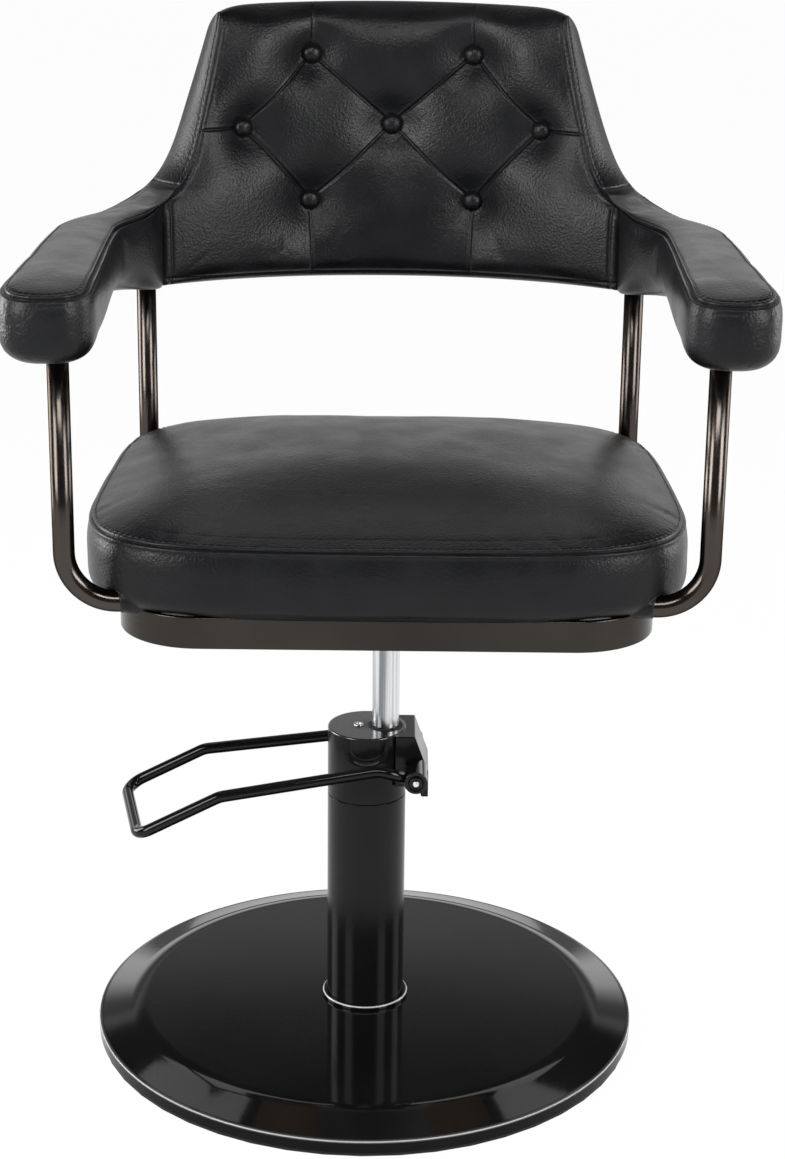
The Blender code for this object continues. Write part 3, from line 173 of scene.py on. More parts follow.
def pattern(tree, kind, scale, stretch=(1.0, 1.0, 1.0), **settings):
    """A texture on object coordinates, which are metres here, drawn out along the axes by the stretch."""
    place = tree.nodes.new("ShaderNodeTexCoord")
    mapping = tree.nodes.new("ShaderNodeMapping")
    mapping.inputs["Scale"].default_value = stretch
    texture = tree.nodes.new(kind)
    texture.inputs["Scale"].default_value = scale
    for socket, value in settings.items():
        texture.inputs[socket].default_value = value
    tree.links.new(place.outputs["Object"], mapping.inputs["Vector"])
    tree.links.new(mapping.outputs["Vector"], texture.inputs["Vector"])
    return texture


def spread(tree, source, target, low, high, source_low=0.35, source_high=0.65):
    """Stretches the middle of a texture's range over low to high, into a socket."""
    node = tree.nodes.new("ShaderNodeMapRange")
    node.inputs["From Min"].default_value = source_low
    node.inputs["From Max"].default_value = source_high
    node.inputs["To Min"].default_value = low
    node.inputs["To Max"].default_value = high
    tree.links.new(source, node.inputs["Value"])
    tree.links.new(node.outputs["Result"], target)


def tint(tree, source, target, stops):
    """Runs a texture through a colour ramp of (position, colour) stops, into a socket."""
    ramp = tree.nodes.new("ShaderNodeValToRGB")
    while len(ramp.color_ramp.elements) < len(stops):
        ramp.color_ramp.elements.new(1.0)
    for element, (position, colour) in zip(ramp.color_ramp.elements, stops):
        element.position = position
        element.color = (*colour, 1.0)
    tree.links.new(source, ramp.inputs["Fac"])
    tree.links.new(ramp.outputs["Color"], target)


def emboss(tree, shader, *layers):
    """Chains one Bump for each (height, strength, depth in metres) layer into the shader's normal."""
    normal = None
    for height, strength, depth in layers:
        bump = tree.nodes.new("ShaderNodeBump")
        bump.inputs["Strength"].default_value = strength
        bump.inputs["Distance"].default_value = depth
        tree.links.new(height, bump.inputs["Height"])
        if normal:
            tree.links.new(normal, bump.inputs["Normal"])
        normal = bump.outputs["Normal"]
    tree.links.new(normal, shader.inputs["Normal"])


def noise_finish(name, constants, cloud, dark, light, grain, gloss, bump=None, ramp=(0.3, 0.7)):
    """A node material: one noise, the cloud, runs the colour from dark to light, and another, the grain, the
    roughness and the bump. A noise is (scale, detail) or (scale, detail, stretch), and a bump is
    (strength, depth in metres)."""
    material, tree, shader = start_material(name, constants)
    colour_noise, gloss_noise = (
        pattern(tree, "ShaderNodeTexNoise", scale, *stretch, Detail=detail).outputs["Fac"]
        for scale, detail, *stretch in (cloud, grain))
    tint(tree, colour_noise, shader.inputs["Base Color"], list(zip(ramp, (dark, light))))
    spread(tree, gloss_noise, shader.inputs["Roughness"], *gloss)
    if bump:
        emboss(tree, shader, (gloss_noise, *bump))
    return material, tree, shader


def mark_input(tree, name):
    """The value of a mark that a piece carries on its points, and 0 on a piece without it."""
    mark = tree.nodes.new("ShaderNodeAttribute")
    mark.attribute_name = name
    return mark.outputs["Fac"]


def mark_rows(piece, name, row_values):
    """Writes a mark on a turned piece: one value for each row of its profile, the same all round."""
    values = np.repeat(row_values, len(piece.data.vertices) // len(row_values))
    values = np.append(values, np.zeros(len(piece.data.vertices) - len(values)))
    mark = piece.data.attributes.new(name, "FLOAT", "POINT")
    mark.data.foreach_set("value", values.astype(np.float32))


def edge_highlight_band(profile, radius, height, width):
    """Painted highlight along an edge at a radius and a height: 1 on it, and falling steeply to 0 beyond the
    width.
    """
    far = np.hypot(profile[:, 0] - radius, profile[:, 1] - height)
    return np.exp(-(far / width) ** 4)


def gloss_enamel(name):
    """Gloss black stove enamel: slow clouds in the colour, slightly uneven gloss and a fine orange peel."""
    material, tree, shader = noise_finish(
        name, {"Specular IOR Level": 0.26}, cloud=(9.0, 4.0), dark=(0.0028, 0.0028, 0.0030),
        light=(0.0052, 0.0052, 0.0055), grain=(420.0, 2.0), gloss=(0.05, 0.10))
    peel = pattern(tree, "ShaderNodeTexNoise", 160.0, Detail=1.0)
    emboss(tree, shader, (peel.outputs["Fac"], 0.05, 0.0002))
    return material, tree, shader


enamel = gloss_enamel("gloss_black_enamel")[0]
base_enamel, tree, shader = gloss_enamel("base_enamel_painted_rim_highlight")
spread(tree, mark_input(tree, "polish"), shader.inputs["Specular IOR Level"], 0.10, 0.36, 0.0, 1.0)
# Painted highlight: a pale grey is mixed into the enamel's colour along the marked rim edge, standing in for
# light caught there.
rim_highlight_mix = tree.nodes.new("ShaderNodeMix")
rim_highlight_mix.data_type = "RGBA"
rim_highlight_mix.inputs["B"].default_value = (0.55, 0.55, 0.56, 1.0)
tree.links.new(mark_input(tree, "rim_painted_highlight"), rim_highlight_mix.inputs["Factor"])
tree.links.new(shader.inputs["Base Color"].links[0].from_socket, rim_highlight_mix.inputs["A"])
tree.links.new(rim_highlight_mix.outputs["Result"], shader.inputs["Base Color"])

satin_black, tree, shader = noise_finish(
    "satin_black_enamel", {}, cloud=(12.0, 4.0), dark=(0.0045, 0.0045, 0.0048),
    light=(0.0080, 0.0080, 0.0084), grain=(600.0, 2.0), gloss=(0.16, 0.22), bump=(0.03, 0.0001))
spread(tree, mark_input(tree, "polish"), shader.inputs["Specular IOR Level"], 0.18, 0.95, 0.0, 1.0)
rubber = noise_finish(
    "matt_rubber", {"Specular IOR Level": 0.3}, cloud=(60.0, 5.0), dark=(0.010, 0.010, 0.010),
    light=(0.020, 0.020, 0.020), grain=(900.0, 2.0), gloss=(0.65, 0.85), bump=(0.3, 0.0003))[0]
brush = (140.0, 6.0, (0.06, 1.0, 1.0))
steel = noise_finish(
    "brushed_steel", {"Metallic": 1.0}, cloud=brush, dark=(0.30, 0.30, 0.31), light=(0.44, 0.44, 0.45),
    grain=brush, gloss=(0.28, 0.42), bump=(0.15, 0.0002))[0]

flat_radius, rim_radius, wall_radius, bore_radius = 0.229, 0.270, 0.266, 0.0389
dish_top, rim_top, rim_low = 0.0288, 0.0160, 0.0033
under_level, flange_level, flange_radius = 0.0248, 0.0208, 0.085
dish_bend = 0.050
upper_side = rounded_path(
    [(bore_radius, 0.0250), (bore_radius, dish_top), (flat_radius, dish_top),
     (rim_radius - 0.0040, rim_top + 0.0006)],
    [edge_break, dish_bend])
rim_edge = rounded_path(
    [(rim_radius - 0.0036, rim_top + 0.0005), (rim_radius, rim_top - 0.0003), (rim_radius, rim_top - 0.0026)],
    [0.0012])
under_side = rounded_path(
    [(rim_radius, rim_top - 0.0028), (rim_radius, rim_low), (wall_radius, rim_low), (wall_radius, 0.0118),
     (0.236, 0.0205), (0.205, under_level), (flange_radius, under_level), (flange_radius, flange_level),
     (bore_radius, flange_level), (bore_radius, 0.0240)],
    [edge_break, edge_break, 0.002, 0.02, 0.02, edge_break, edge_break, edge_break])
dish = np.vstack((upper_side, rim_edge, under_side))
base_plate = lathe("base_dish", dish, base_axis, upward, 256)
# The dish's rim edge is marked for a painted highlight, a pale line in the colour.
mark_rows(base_plate, "rim_painted_highlight", edge_highlight_band(dish, rim_radius - 0.0006, rim_top - 0.0008, 0.0007))
mark_rows(base_plate, "polish", np.arange(len(dish)) < len(upper_side))
fit(base_plate, base_enamel, "base", "black_enamel", "base_plate")
paint(rubber, "floor_pad")
paint(steel, "foot_flange", "base_bolt_1", "base_bolt_2", "base_bolt_3", "base_bolt_4")

# Column: a drawn steel tube enamelled with the base, which stands through the dish. A ring of half-round
# section is pressed down its foot and hides the hole in the dish.

column_radius, column_bore, column_foot, column_end = 0.0386, 0.0356, 0.0211, 0.2512
tube_profile = rounded_path(
    [(column_bore, column_foot), (column_radius, column_foot), (column_radius, column_end),
     (column_bore, column_end)],
    [edge_break, edge_break])
column = lathe("column_tube_skin", tube_profile, base_axis, upward, 144)
fit(column, satin_black, "base", "black_enamel", "column_tube")
bead_radius, bead_low, bead_top = 0.0431, 0.0291, 0.0333
bead_profile = rounded_path(
    [(bore_radius, bead_low), (bead_radius, bead_low), (bead_radius, bead_top), (bore_radius, bead_top),
     (bore_radius, 0.0315)],
    [edge_break, 0.0020, edge_break])
collar = lathe("collar_ring", bead_profile, base_axis, upward, 144)
# The collar's top edge is marked for a painted highlight, a pale line in the colour.
mark_rows(collar, "rim_painted_highlight", edge_highlight_band(bead_profile, bead_radius - 0.0004, bead_top - 0.0004, 0.0008))
mark_rows(collar, "polish", np.ones(len(bead_profile)))
fit(collar, base_enamel, "base", "black_enamel", "column_collar")

# Pump head: an iron casting on top of the column, machined on its flat cap and enamelled black. A cup is
# cast proud on its front, a sloping bracket on its right carries the lever, and the ram slides in a seal.

head_low, head_top = 0.2516, 0.3216
cup_half_width, cup_depth, cup_top, cup_power = 0.0195, 0.0215, 0.3175, 2.6


def bell(offset, width):
    """A bell curve: e to the power of minus the square of the offset over the width."""
    return np.exp(-(offset / width) ** 2)


def head_relief(arc, height):
    """Groove round the cast cup: deepest where the cup's superellipse, measured along the front and down
    from the cap, equals one."""
    aside = (np.abs(arc) / cup_half_width) ** cup_power
    down = (np.abs(cup_top - height) / cup_depth) ** cup_power
    from_edge = ((aside + down) ** (1 / cup_power) - 1.0) * 0.018
    return np.where(height < head_top - 0.0026, -0.0021 * bell(from_edge, 0.0017), 0.0)


wall = np.column_stack((np.full(90, column_radius), np.linspace(head_low + 0.0008, head_top - 0.0020, 90)))
foot_edge = [(0.0358, head_low), (column_radius - 0.0006, head_low), (column_radius, head_low + 0.0006)]
cap_edge = rounded_path(
    [(column_radius, head_top - 0.0019), (column_radius, head_top), (0.0200, head_top)], [0.0016], 6)
head_profile = np.vstack((foot_edge, wall, cap_edge[1:]))
head_grid = turned(head_profile, base_axis, upward, 400)
spoke = head_grid - base_axis
from_axis = np.hypot(spoke[..., 0], spoke[..., 1])
front_arc = np.arctan2(spoke[..., 0], -spoke[..., 1]) * column_radius
carved = head_relief(front_arc, head_grid[..., 2]) * (from_axis > column_radius - 0.0001)
head_grid[..., :2] += (carved / from_axis)[..., None] * spoke[..., :2]
head = skin("head_casting", head_grid)
mark_rows(head, "polish", head_profile[:, 1] > head_top - 0.0016)
fit(head, satin_black, "base", "black_enamel", "pump_head")

roof, shoulder, foot, web = 0.3210, 0.2841, 0.2581, 0.2686
bracket_depth = 0.030
bracket_side = np.array([(0.010, roof), (0.0290, roof), (0.0425, shoulder), (0.0425, foot), (0.0355, foot),
                         (0.0355, web), (0.010, web)])
bracket_sides = [np.insert(bracket_side, 1, y, axis=1) for y in (-bracket_depth, bracket_depth)]
bracket = skin("lever_bracket", np.array(bracket_sides))
bevel = bracket.modifiers.new("round edges", "BEVEL")
bevel.width = 0.0009
bevel.segments = 3
bevel.limit_method = "ANGLE"
bevel.angle_limit = math.radians(25)
bevel.harden_normals = True
fit(bracket, satin_black, "base", "black_enamel")

seal_bore, seal_radius, seal_foot, seal_lip = 0.0137, 0.0172, head_top - 0.004, 0.3226
seal_profile = rounded_path(
    [(seal_bore, seal_foot), (seal_bore, seal_lip), (seal_radius, seal_lip), (seal_radius, seal_foot)],
    [0.0004, 0.0012])
seal = lathe("ram_wiper", seal_profile, np.zeros(3), upward, 96)
fit(seal, rubber, "base", "rubber", "wiper_seal")

ground = (150.0, 3.0, (1.0, 1.0, 0.01))
chrome = noise_finish(
    "satin_chrome", {"Metallic": 1.0}, cloud=ground, dark=(0.24, 0.25, 0.27), light=(0.78, 0.79, 0.80),
    grain=ground, gloss=(0.20, 0.30), bump=(0.04, 0.0001), ramp=(0.40, 0.60))[0]
filler_place = np.array((-0.0265, 0.0, head_top))
plug_profile = rounded_path(
    [(0.0005, 0.0002), (0.0018, 0.0002), (0.0024, 0.0014), (0.0048, 0.0014), (0.0052, -0.0004)],
    [0.0004, 0.0004, 0.0008])
plug = skin("filler_plug", turned(plug_profile, filler_place, upward, 48))
fit(plug, chrome, "base", "chrome", "filler_screw")
bored = (200.0, 4.0, (1.0, 1.0, 0.05))
brass = noise_finish(
    "bearing_brass", {"Metallic": 1.0}, cloud=bored, dark=(0.52, 0.38, 0.16), light=(0.66, 0.50, 0.24),
    grain=bored, gloss=(0.25, 0.40))[0]
paint(brass, "ram_bush")
paint(steel, "inner_cylinder")

# Ram: a ground steel bar, hard chromed, which the pump lifts and which turns in its bush. The piston with
# its rubber seal is fixed to its lower end inside the column.

ram_radius, ram_low, ram_top, ram_middle = 0.0134, 0.1761, 0.4757, 0.0005
ram_profile = rounded_path(
    [(ram_middle, ram_low), (ram_radius, ram_low), (ram_radius, ram_top), (ram_middle, ram_top)],
    [0.001, 0.001])
ram = skin("chromed_ram", turned(ram_profile, np.zeros(3), upward, 96))
fit(ram, chrome, "ram", "chrome", "ram")
paint(steel, "ram_piston")
paint(rubber, "piston_seal")

# Foot lever: one round steel rod bent to a loop round the column and enamelled. Its ends are welded to two
# hubs on the cross shaft, and each hub is held by a bright socket screw.


def tube_along(path, radius, sides, side_line):
    """Circles carried along a path. Each lies across the path's direction there, and its spokes are
    measured from the cross product of that direction with a fixed line."""
    tangent = unit(np.gradient(path, axis=0))
    across = unit(np.cross(tangent, side_line))
    other = np.cross(tangent, across)
    angle = np.linspace(0.0, math.tau, sides, endpoint=False)[None, :, None]
    return path[:, None] + radius * (np.cos(angle) * across[:, None] + np.sin(angle) * other[:, None])


pivot = np.array((0.030, 0.0, 0.2886))
lever_corners = [
    (0.0225, -0.061, 0.2907), (-0.006, -0.061, 0.2976), (-0.160, -0.061, 0.2691), (-0.240, -0.061, 0.2276),
    (-0.2635, 0.061, 0.2276), (-0.1835, 0.061, 0.2691), (-0.006, 0.046, 0.2976), (0.0225, 0.046, 0.2907)]
lever_path = rounded_path(lever_corners, [0.030, 0.030, 0.016, 0.016, 0.030, 0.030], 12)
lever = skin("lever_rod", tube_along(lever_path, 0.0058, 32, upward))
fit(lever, enamel, "pedal", "black_enamel", "pedal_lever")
shaft_radius, hub_start = 0.0053, 0.0303
for end, sign, reach, hub_radius in (("front", -1.0, 0.069, 0.0112), ("rear", 1.0, 0.054, 0.0080)):
    out = np.array((0.0, sign, 0.0))
    hub_profile = rounded_path(
        [(shaft_radius, hub_start), (hub_radius, hub_start), (hub_radius, reach), (shaft_radius, reach)],
        [edge_break, 0.0010])
    hub = lathe(f"lever_hub_{end}", hub_profile, pivot, out, 64)
    fit(hub, enamel, "pedal", "black_enamel", f"pedal_hub_{end}")
    washer_profile = rounded_path(
        [(0.0030, reach + 0.0003), (0.0064, reach + 0.0003), (0.0064, reach + 0.0013),
         (0.0030, reach + 0.0013)],
        [0.0002, 0.0004])
    washer = lathe(f"hub_washer_{end}", washer_profile, pivot, out, 48)
    fit(washer, enamel, "pedal", "black_enamel")
    screw_profile = rounded_path(
        [(0.0025, reach - 0.0080), (0.0025, reach + 0.0005), (0.0031, reach + 0.0005),
         (0.0031, reach + 0.0026), (0.0015, reach + 0.0026), (0.0013, reach + 0.0012),
         (0.0004, reach + 0.0012)],
        [0.0002, 0.0003, 0.0008, 0.0003, 0.0003])
    screw = skin(f"socket_screw_{end}", turned(screw_profile, pivot, out, 48))
    fit(screw, chrome, "pedal", "chrome", f"hub_screw_{end}")
paint(steel, "pedal_shaft", "pedal_cam", "pump_plunger")

# Seat frame: two hoops of round steel tube plated in dark gunmetal run under the seat and up to the arms
# and the back. A flat bar bent to a band hides the plate, the rails and the bolts that join them.

gunmetal = noise_finish(
    "gunmetal_plating", {"Metallic": 1.0, "Specular Tint": (0.34, 0.31, 0.29, 1.0)}, cloud=(7.0, 3.0),
    dark=(0.062, 0.053, 0.047), light=(0.088, 0.076, 0.068), grain=(60.0, 4.0), gloss=(0.17, 0.23),
    bump=(0.004, 0.0001))[0]
tube_radius, tube_bend, run_z = 0.0097, 0.045, 0.5115
hoop_paths = {}
for end, x, y, top in (("front", 0.286, -0.185, 0.7555), ("rear", 0.2454, 0.1918, 0.7855)):
    hoop_corners = [(-x, y, top), (-x, y, run_z), (x, y, run_z), (x, y, top)]
    hoop_paths[end] = rounded_path(hoop_corners, [tube_bend, tube_bend], 24)
    hoop = skin(f"{end}_tube_hoop", tube_along(hoop_paths[end], tube_radius, 48, (0.0, 1.0, 0.0)))
    fit(hoop, gunmetal, "seat", "gunmetal", f"{end}_hoop")

band_metal = noise_finish(
    "satin_gunmetal_band", {"Metallic": 1.0}, cloud=(5.0, 3.0), dark=(0.034, 0.030, 0.027),
    light=(0.062, 0.055, 0.049), grain=(420.0, 5.0, (0.03, 0.03, 1.0)), gloss=(0.18, 0.28),
    bump=(0.10, 0.0001))[0]
band_top, band_low, band_thickness = 0.506, 0.4767, 0.005


def band_plan(inset, steps=24):
    """Plan of the band: a rectangle with round corners, drawn in by the inset."""
    x, front, rear, corner = 0.2420 - inset, -0.2128 + inset, 0.208 - inset, 0.075 - inset
    loop = [(0.0, front), (x, front), (x, rear), (-x, rear), (-x, front), (0.0, front)]
    return rounded_path(loop, [corner] * 4, steps)[:-1]


def at_level(plan, level):
    """A plan of (x, y) points lifted to a level."""
    return np.insert(plan, 2, level, axis=1)


band_section = rounded_path(
    [(0.0, 0.49), (0.0, band_top), (band_thickness, band_top), (band_thickness, band_low), (0.0, band_low),
     (0.0, 0.488)],
    [0.0010, 0.0010, 0.0010, 0.0010], 4)
band_rows = [at_level(band_plan(inset), level) for inset, level in band_section]
band = skin("seat_band_bar", np.array(band_rows), wrap_rows=True, caps=False)
fit(band, band_metal, "seat", "gunmetal", "seat_band")

frame_bolts = [f"{kind}_bolt_{end}_{side}" for kind in ("plate", "frame") for end in ("front", "rear")
               for side in ("left", "right")]
paint(steel, "seat_plate", "seat_socket", "seat_rail_left", "seat_rail_right", *frame_bolts)
paint(steel, "arm_screw_left", "arm_screw_right", "back_bolt_left", "back_bolt_right")

plywood, tree, shader = start_material("birch_plywood", {"Specular IOR Level": 0.3})
plies = pattern(tree, "ShaderNodeTexWave", 170.0, (0.02, 0.02, 1.0), Distortion=1.5, Detail=2.0)
plies.bands_direction = "Z"
tint(tree, plies.outputs["Fac"], shader.inputs["Base Color"],
     [(0.2, (0.33, 0.21, 0.11)), (0.8, (0.56, 0.41, 0.25))])
spread(tree, plies.outputs["Fac"], shader.inputs["Roughness"], 0.55, 0.75, 0.0, 1.0)
emboss(tree, shader, (plies.outputs["Fac"], 0.2, 0.0002))
paint(plywood, "seat_board", "arm_board_left", "arm_board_right", "back_board")

# Seat cushion: moulded foam on a plywood board under black leather. A crowned top panel is sewn to a side
# boxing, the seam is turned down and stitched through, and the boxing is rolled under the board.


def combine(tree, operation, first, second):
    """The output of a Math node on two values, each of them a socket or a number."""
    node = tree.nodes.new("ShaderNodeMath")
    node.operation = operation
    for socket, value in zip(node.inputs, (first, second)):
        if isinstance(value, float):
            socket.default_value = value
        else:
            tree.links.new(value, socket)
    return node.outputs["Value"]


def leather_finish(name, crease_stretch, crease_strength):
    """Black hide: pebbles from a cell pattern, creases where a stretched noise folds back on itself, a fine
    grain, and slow clouds that change the gloss and the colour."""
    cloud = (26.0, 5.0)
    material, tree, shader = noise_finish(
        name, {"Specular IOR Level": 0.24}, cloud=cloud, dark=(0.0030, 0.0032, 0.0040),
        light=(0.0055, 0.0058, 0.0070), grain=cloud, gloss=(0.31, 0.39))
    pebble = pattern(tree, "ShaderNodeTexVoronoi", 460.0)
    pebble.feature = "SMOOTH_F1"
    fine = pattern(tree, "ShaderNodeTexNoise", 900.0, Detail=2.0)
    crease = pattern(tree, "ShaderNodeTexNoise", 95.0, crease_stretch, Detail=6.0, Distortion=0.9)
    fold = combine(tree, "PINGPONG", crease.outputs["Fac"], 0.07)
    emboss(tree, shader, (fold, crease_strength, 0.004), (pebble.outputs["Distance"], 0.38, 0.0007),
           (fine.outputs["Fac"], 0.22, 0.0004))
    return material


seat_leather = leather_finish("black_leather_seat", (0.55, 1.0, 1.0), 0.22)
twist = (1400.0, 1.0)
thread = noise_finish(
    "waxed_black_thread", {"Specular IOR Level": 0.5}, cloud=twist, dark=(0.004, 0.004, 0.0045),
    light=(0.012, 0.012, 0.013), grain=twist, gloss=(0.30, 0.50))[0]


def ease(share):
    """A smooth step from 0 to 1: three times the square less twice the cube."""
    share = np.clip(share, 0.0, 1.0)
    return share * share * (3.0 - 2.0 * share)


def lattice_noise(points, cell, seed):
    """Value noise from -1 to 1: random numbers on a lattice of cells, eased between the eight corners."""
    table = np.random.default_rng(seed).uniform(-1.0, 1.0, 4096)
    scaled = points / cell
    low = np.floor(scaled).astype(int)
    part = ease(scaled - low)
    total = np.zeros(points.shape[:-1])
    for corner in np.ndindex(2, 2, 2):
        at = low + corner
        mixed = (at[..., 0] * 73856093) ^ (at[..., 1] * 19349663) ^ (at[..., 2] * 83492791)
        weight = np.prod(np.where(np.array(corner) == 1, part, 1.0 - part), axis=-1)
        total += weight * table[mixed % 4096]
    return total


def crumple(points, cell, seed):
    """Depth of a net of wrinkles, from 0 to 1.2: high where warped noise, at two sizes, crosses zero."""
    warp = np.stack([lattice_noise(points, 2.2 * cell, seed + k) for k in range(3)], -1)
    bent = points + 0.7 * cell * warp
    coarse = (1.0 - np.abs(lattice_noise(bent, cell, seed + 3))) ** 4
    fine = (1.0 - np.abs(lattice_noise(bent, 0.6 * cell, seed + 4))) ** 4
    return np.clip(coarse + 0.6 * fine, 0.0, 1.2)


def grid_normals(grid, wrap_columns):
    """Unit normals of a grid of points: the cross product of its two directions."""
    padded = np.concatenate((grid[:, -1:], grid, grid[:, :1]), 1) if wrap_columns else grid
    by_row = np.gradient(padded, axis=0)
    by_column = np.gradient(padded, axis=1)
    normal = np.cross(by_row, by_column)
    normal /= np.linalg.norm(normal, axis=-1, keepdims=True) + 1e-12
    return normal[:, 1:-1] if wrap_columns else normal


def run_along(points):
    """Distance run along a line of points, from 0 at the first."""
    return np.concatenate(([0.0], np.cumsum(np.linalg.norm(np.diff(points, axis=0), axis=1))))


def seam_relief(inside, along, stitch_line, pitch, seed):
    """Height of a sewn edge. A groove lies on the seam itself, a roll of hide stands on both sides of it,
    a shallow channel follows the stitches, and small gathers between the stitches fade away from it."""
    along = along[None, :] + 0.0 * inside
    uneven = 1.0 + 0.5 * lattice_noise(np.stack((along, along * 0.0, along * 0.0), -1), 0.023, seed)
    groove = -0.0024 * bell(inside, 0.0011)
    roll = 0.0008 * bell(np.abs(inside) - 0.0031, 0.0019)
    channel = -0.0008 * bell(inside - stitch_line, 0.0010)
    gather = 0.00010 * uneven * np.cos(math.tau * along / pitch) * bell(inside - stitch_line, 0.0050)
    return groove + roll + channel + gather


def weld(piece):
    """Merges points that lie on each other and turns the faces outwards."""
    work = bmesh.new()
    work.from_mesh(piece.data)
    bmesh.ops.remove_doubles(work, verts=work.verts, dist=2e-5)
    bmesh.ops.recalc_face_normals(work, faces=work.faces)
    work.to_mesh(piece.data)
    work.free()
    piece.data.shade_smooth()
    return piece


def stitch_row(name, line, normals, pitch, closed):
    """Stitches along a line: a small six-sided thread, fattest in its middle and dipping at both ends,
    copied to evenly spaced places, turned to the line's direction and the surface's normal."""
    line = np.vstack((line, line[:1])) if closed else line
    normals = np.vstack((normals, normals[:1])) if closed else normals
    run = run_along(line)
    count = int(run[-1] / pitch)
    at = (np.arange(count) + 0.5) * run[-1] / count

    def sample(values, where):
        return np.stack([np.interp(where, run, values[:, k]) for k in range(3)], -1)

    ahead = unit(sample(line, np.minimum(at + 0.001, run[-1])) - sample(line, np.maximum(at - 0.001, 0.0)))
    above = sample(normals, at)
    above = unit(above - ahead * np.sum(above * ahead, axis=1, keepdims=True))
    beside = np.cross(above, ahead)
    sides, rings = 6, 7
    place = np.linspace(-1.0, 1.0, rings)
    thick = 0.00052 * np.sqrt(np.maximum(1.0 - place**4, 0.06))
    angle = np.linspace(0.0, math.tau, sides, endpoint=False)
    lengthways = np.repeat(place * 0.36 * pitch, sides)
    sideways = np.outer(thick, np.cos(angle)).ravel()
    upwards = np.outer(thick, np.sin(angle)).ravel() + np.repeat(0.0004 - 0.0010 * place**4, sides)
    points = (sample(line, at)[:, None] + lengthways[:, None] * ahead[:, None]
              + sideways[:, None] * beside[:, None] + upwards[:, None] * above[:, None])
    index = np.arange(rings * sides).reshape(rings, sides)
    quads = grid_quads(np.hstack((index, index[:, :1])))
    ends = np.stack((index[0, ::-1], index[-1]))
    offsets = rings * sides * np.arange(count)[:, None, None]
    faces = (quads + offsets).reshape(-1, 4).tolist() + (ends + offsets).reshape(-1, sides).tolist()
    mesh = bpy.data.meshes.new(name)
    mesh.from_pydata(points.reshape(-1, 3).tolist(), [], faces)
    return fit(weld(place_in_scene(name, mesh)), thread, "seat", "leather")


def cubic(samples, at, wrap):
    """Smooth curve through samples on the first axis, read at fractional places: the Catmull-Rom cubic of
    the four samples round each place."""
    low = np.floor(at).astype(int)
    part = (at - low)[:, None, None]
    count = len(samples)
    near = [(low + k) % count if wrap else np.clip(low + k, 0, count - 1) for k in (-1, 0, 1, 2)]
    before, here, after, beyond = (samples[places] for places in near)
    bend = 2.0 * before - 5.0 * here + 4.0 * after - beyond
    turn = 3.0 * (here - after) + beyond - before
    return here + 0.5 * part * (after - before + part * (bend + part * turn))


def swell(grid, held, cap, row_step, column_step, wrap_columns):
    """Cloth simulation. A coarse copy of a grid, with its coincident points merged, is blown up by inner
    pressure while the held points are pinned. Each point's move is capped and spread over the full grid."""
    rows = np.unique(np.append(np.arange(0, len(grid), row_step), len(grid) - 1))
    columns = np.arange(0, grid.shape[1], column_step)
    if not wrap_columns:
        half = np.arange(0, grid.shape[1] // 2, column_step)
        columns = np.concatenate((half, grid.shape[1] - 1 - half[::-1]))
    coarse = grid[np.ix_(rows, columns)]
    flat = coarse.reshape(-1, 3)
    _, first, merged = np.unique(np.round(flat / 2e-5).astype(np.int64), axis=0, return_index=True,
                                 return_inverse=True)
    merged = merged.reshape(-1)
    index = merged.reshape(coarse.shape[:2])
    if wrap_columns:
        index = np.hstack((index, index[:, :1]))
    quads = grid_quads(index)
    faces = np.vstack((quads[:, :3], quads[:, [0, 2, 3]]))
    faces = faces[(faces != np.roll(faces, 1, axis=1)).all(axis=1)]
    if turns_inward(flat[first], faces):
        faces = faces[:, ::-1]
    mesh = bpy.data.meshes.new("swelling_blank")
    mesh.from_pydata(flat[first].tolist(), [], faces.tolist())
    blank = place_in_scene("swelling_blank", mesh)
    pins = blank.vertex_groups.new(name="held")
    pinned = np.bincount(merged, held[np.ix_(rows, columns)].ravel()) > 0
    pins.add(np.flatnonzero(pinned).tolist(), 1.0, "REPLACE")
    cloth = blank.modifiers.new("swell", "CLOTH")
    cloth.settings.quality = 6
    cloth.settings.mass = 0.3
    cloth.settings.tension_stiffness = 20.0
    cloth.settings.compression_stiffness = 20.0
    cloth.settings.shear_stiffness = 8.0
    cloth.settings.bending_stiffness = 1.5
    cloth.settings.use_pressure = True
    cloth.settings.uniform_pressure_force = 4.0
    cloth.settings.vertex_group_mass = "held"
    cloth.settings.effector_weights.gravity = 0.0
    for number in range(1, 21):
        bpy.context.scene.frame_set(number)
    grown = blank.evaluated_get(bpy.context.evaluated_depsgraph_get())
    places = np.empty(len(grown.data.vertices) * 3, np.float32)
    grown.data.vertices.foreach_get("co", places)
    bpy.context.scene.frame_set(1)
    bpy.data.objects.remove(blank, do_unlink=True)
    move = places.reshape(-1, 3)[merged].reshape(coarse.shape) - coarse
    far = np.linalg.norm(move, axis=-1, keepdims=True)
    move *= cap * np.tanh(far / cap) / np.maximum(far, 1e-9)
    row_at = np.interp(np.arange(len(grid)), rows, np.arange(len(rows)))
    column_at = np.arange(grid.shape[1]) / column_step
    if not wrap_columns:
        column_at = np.interp(np.arange(grid.shape[1]), columns, np.arange(len(columns)))
    by_row = cubic(move, row_at, False)
    return cubic(by_row.swapaxes(0, 1), column_at, wrap_columns).swapaxes(0, 1)


def signed_power(value, power):
    """A power of a value's size, with the value's own sign."""
    return np.sign(value) * np.abs(value) ** power


seat_half_width, seat_half_depth, seat_middle_y, rear_narrowing = 0.273, 0.2255, 0.0015, 0.044


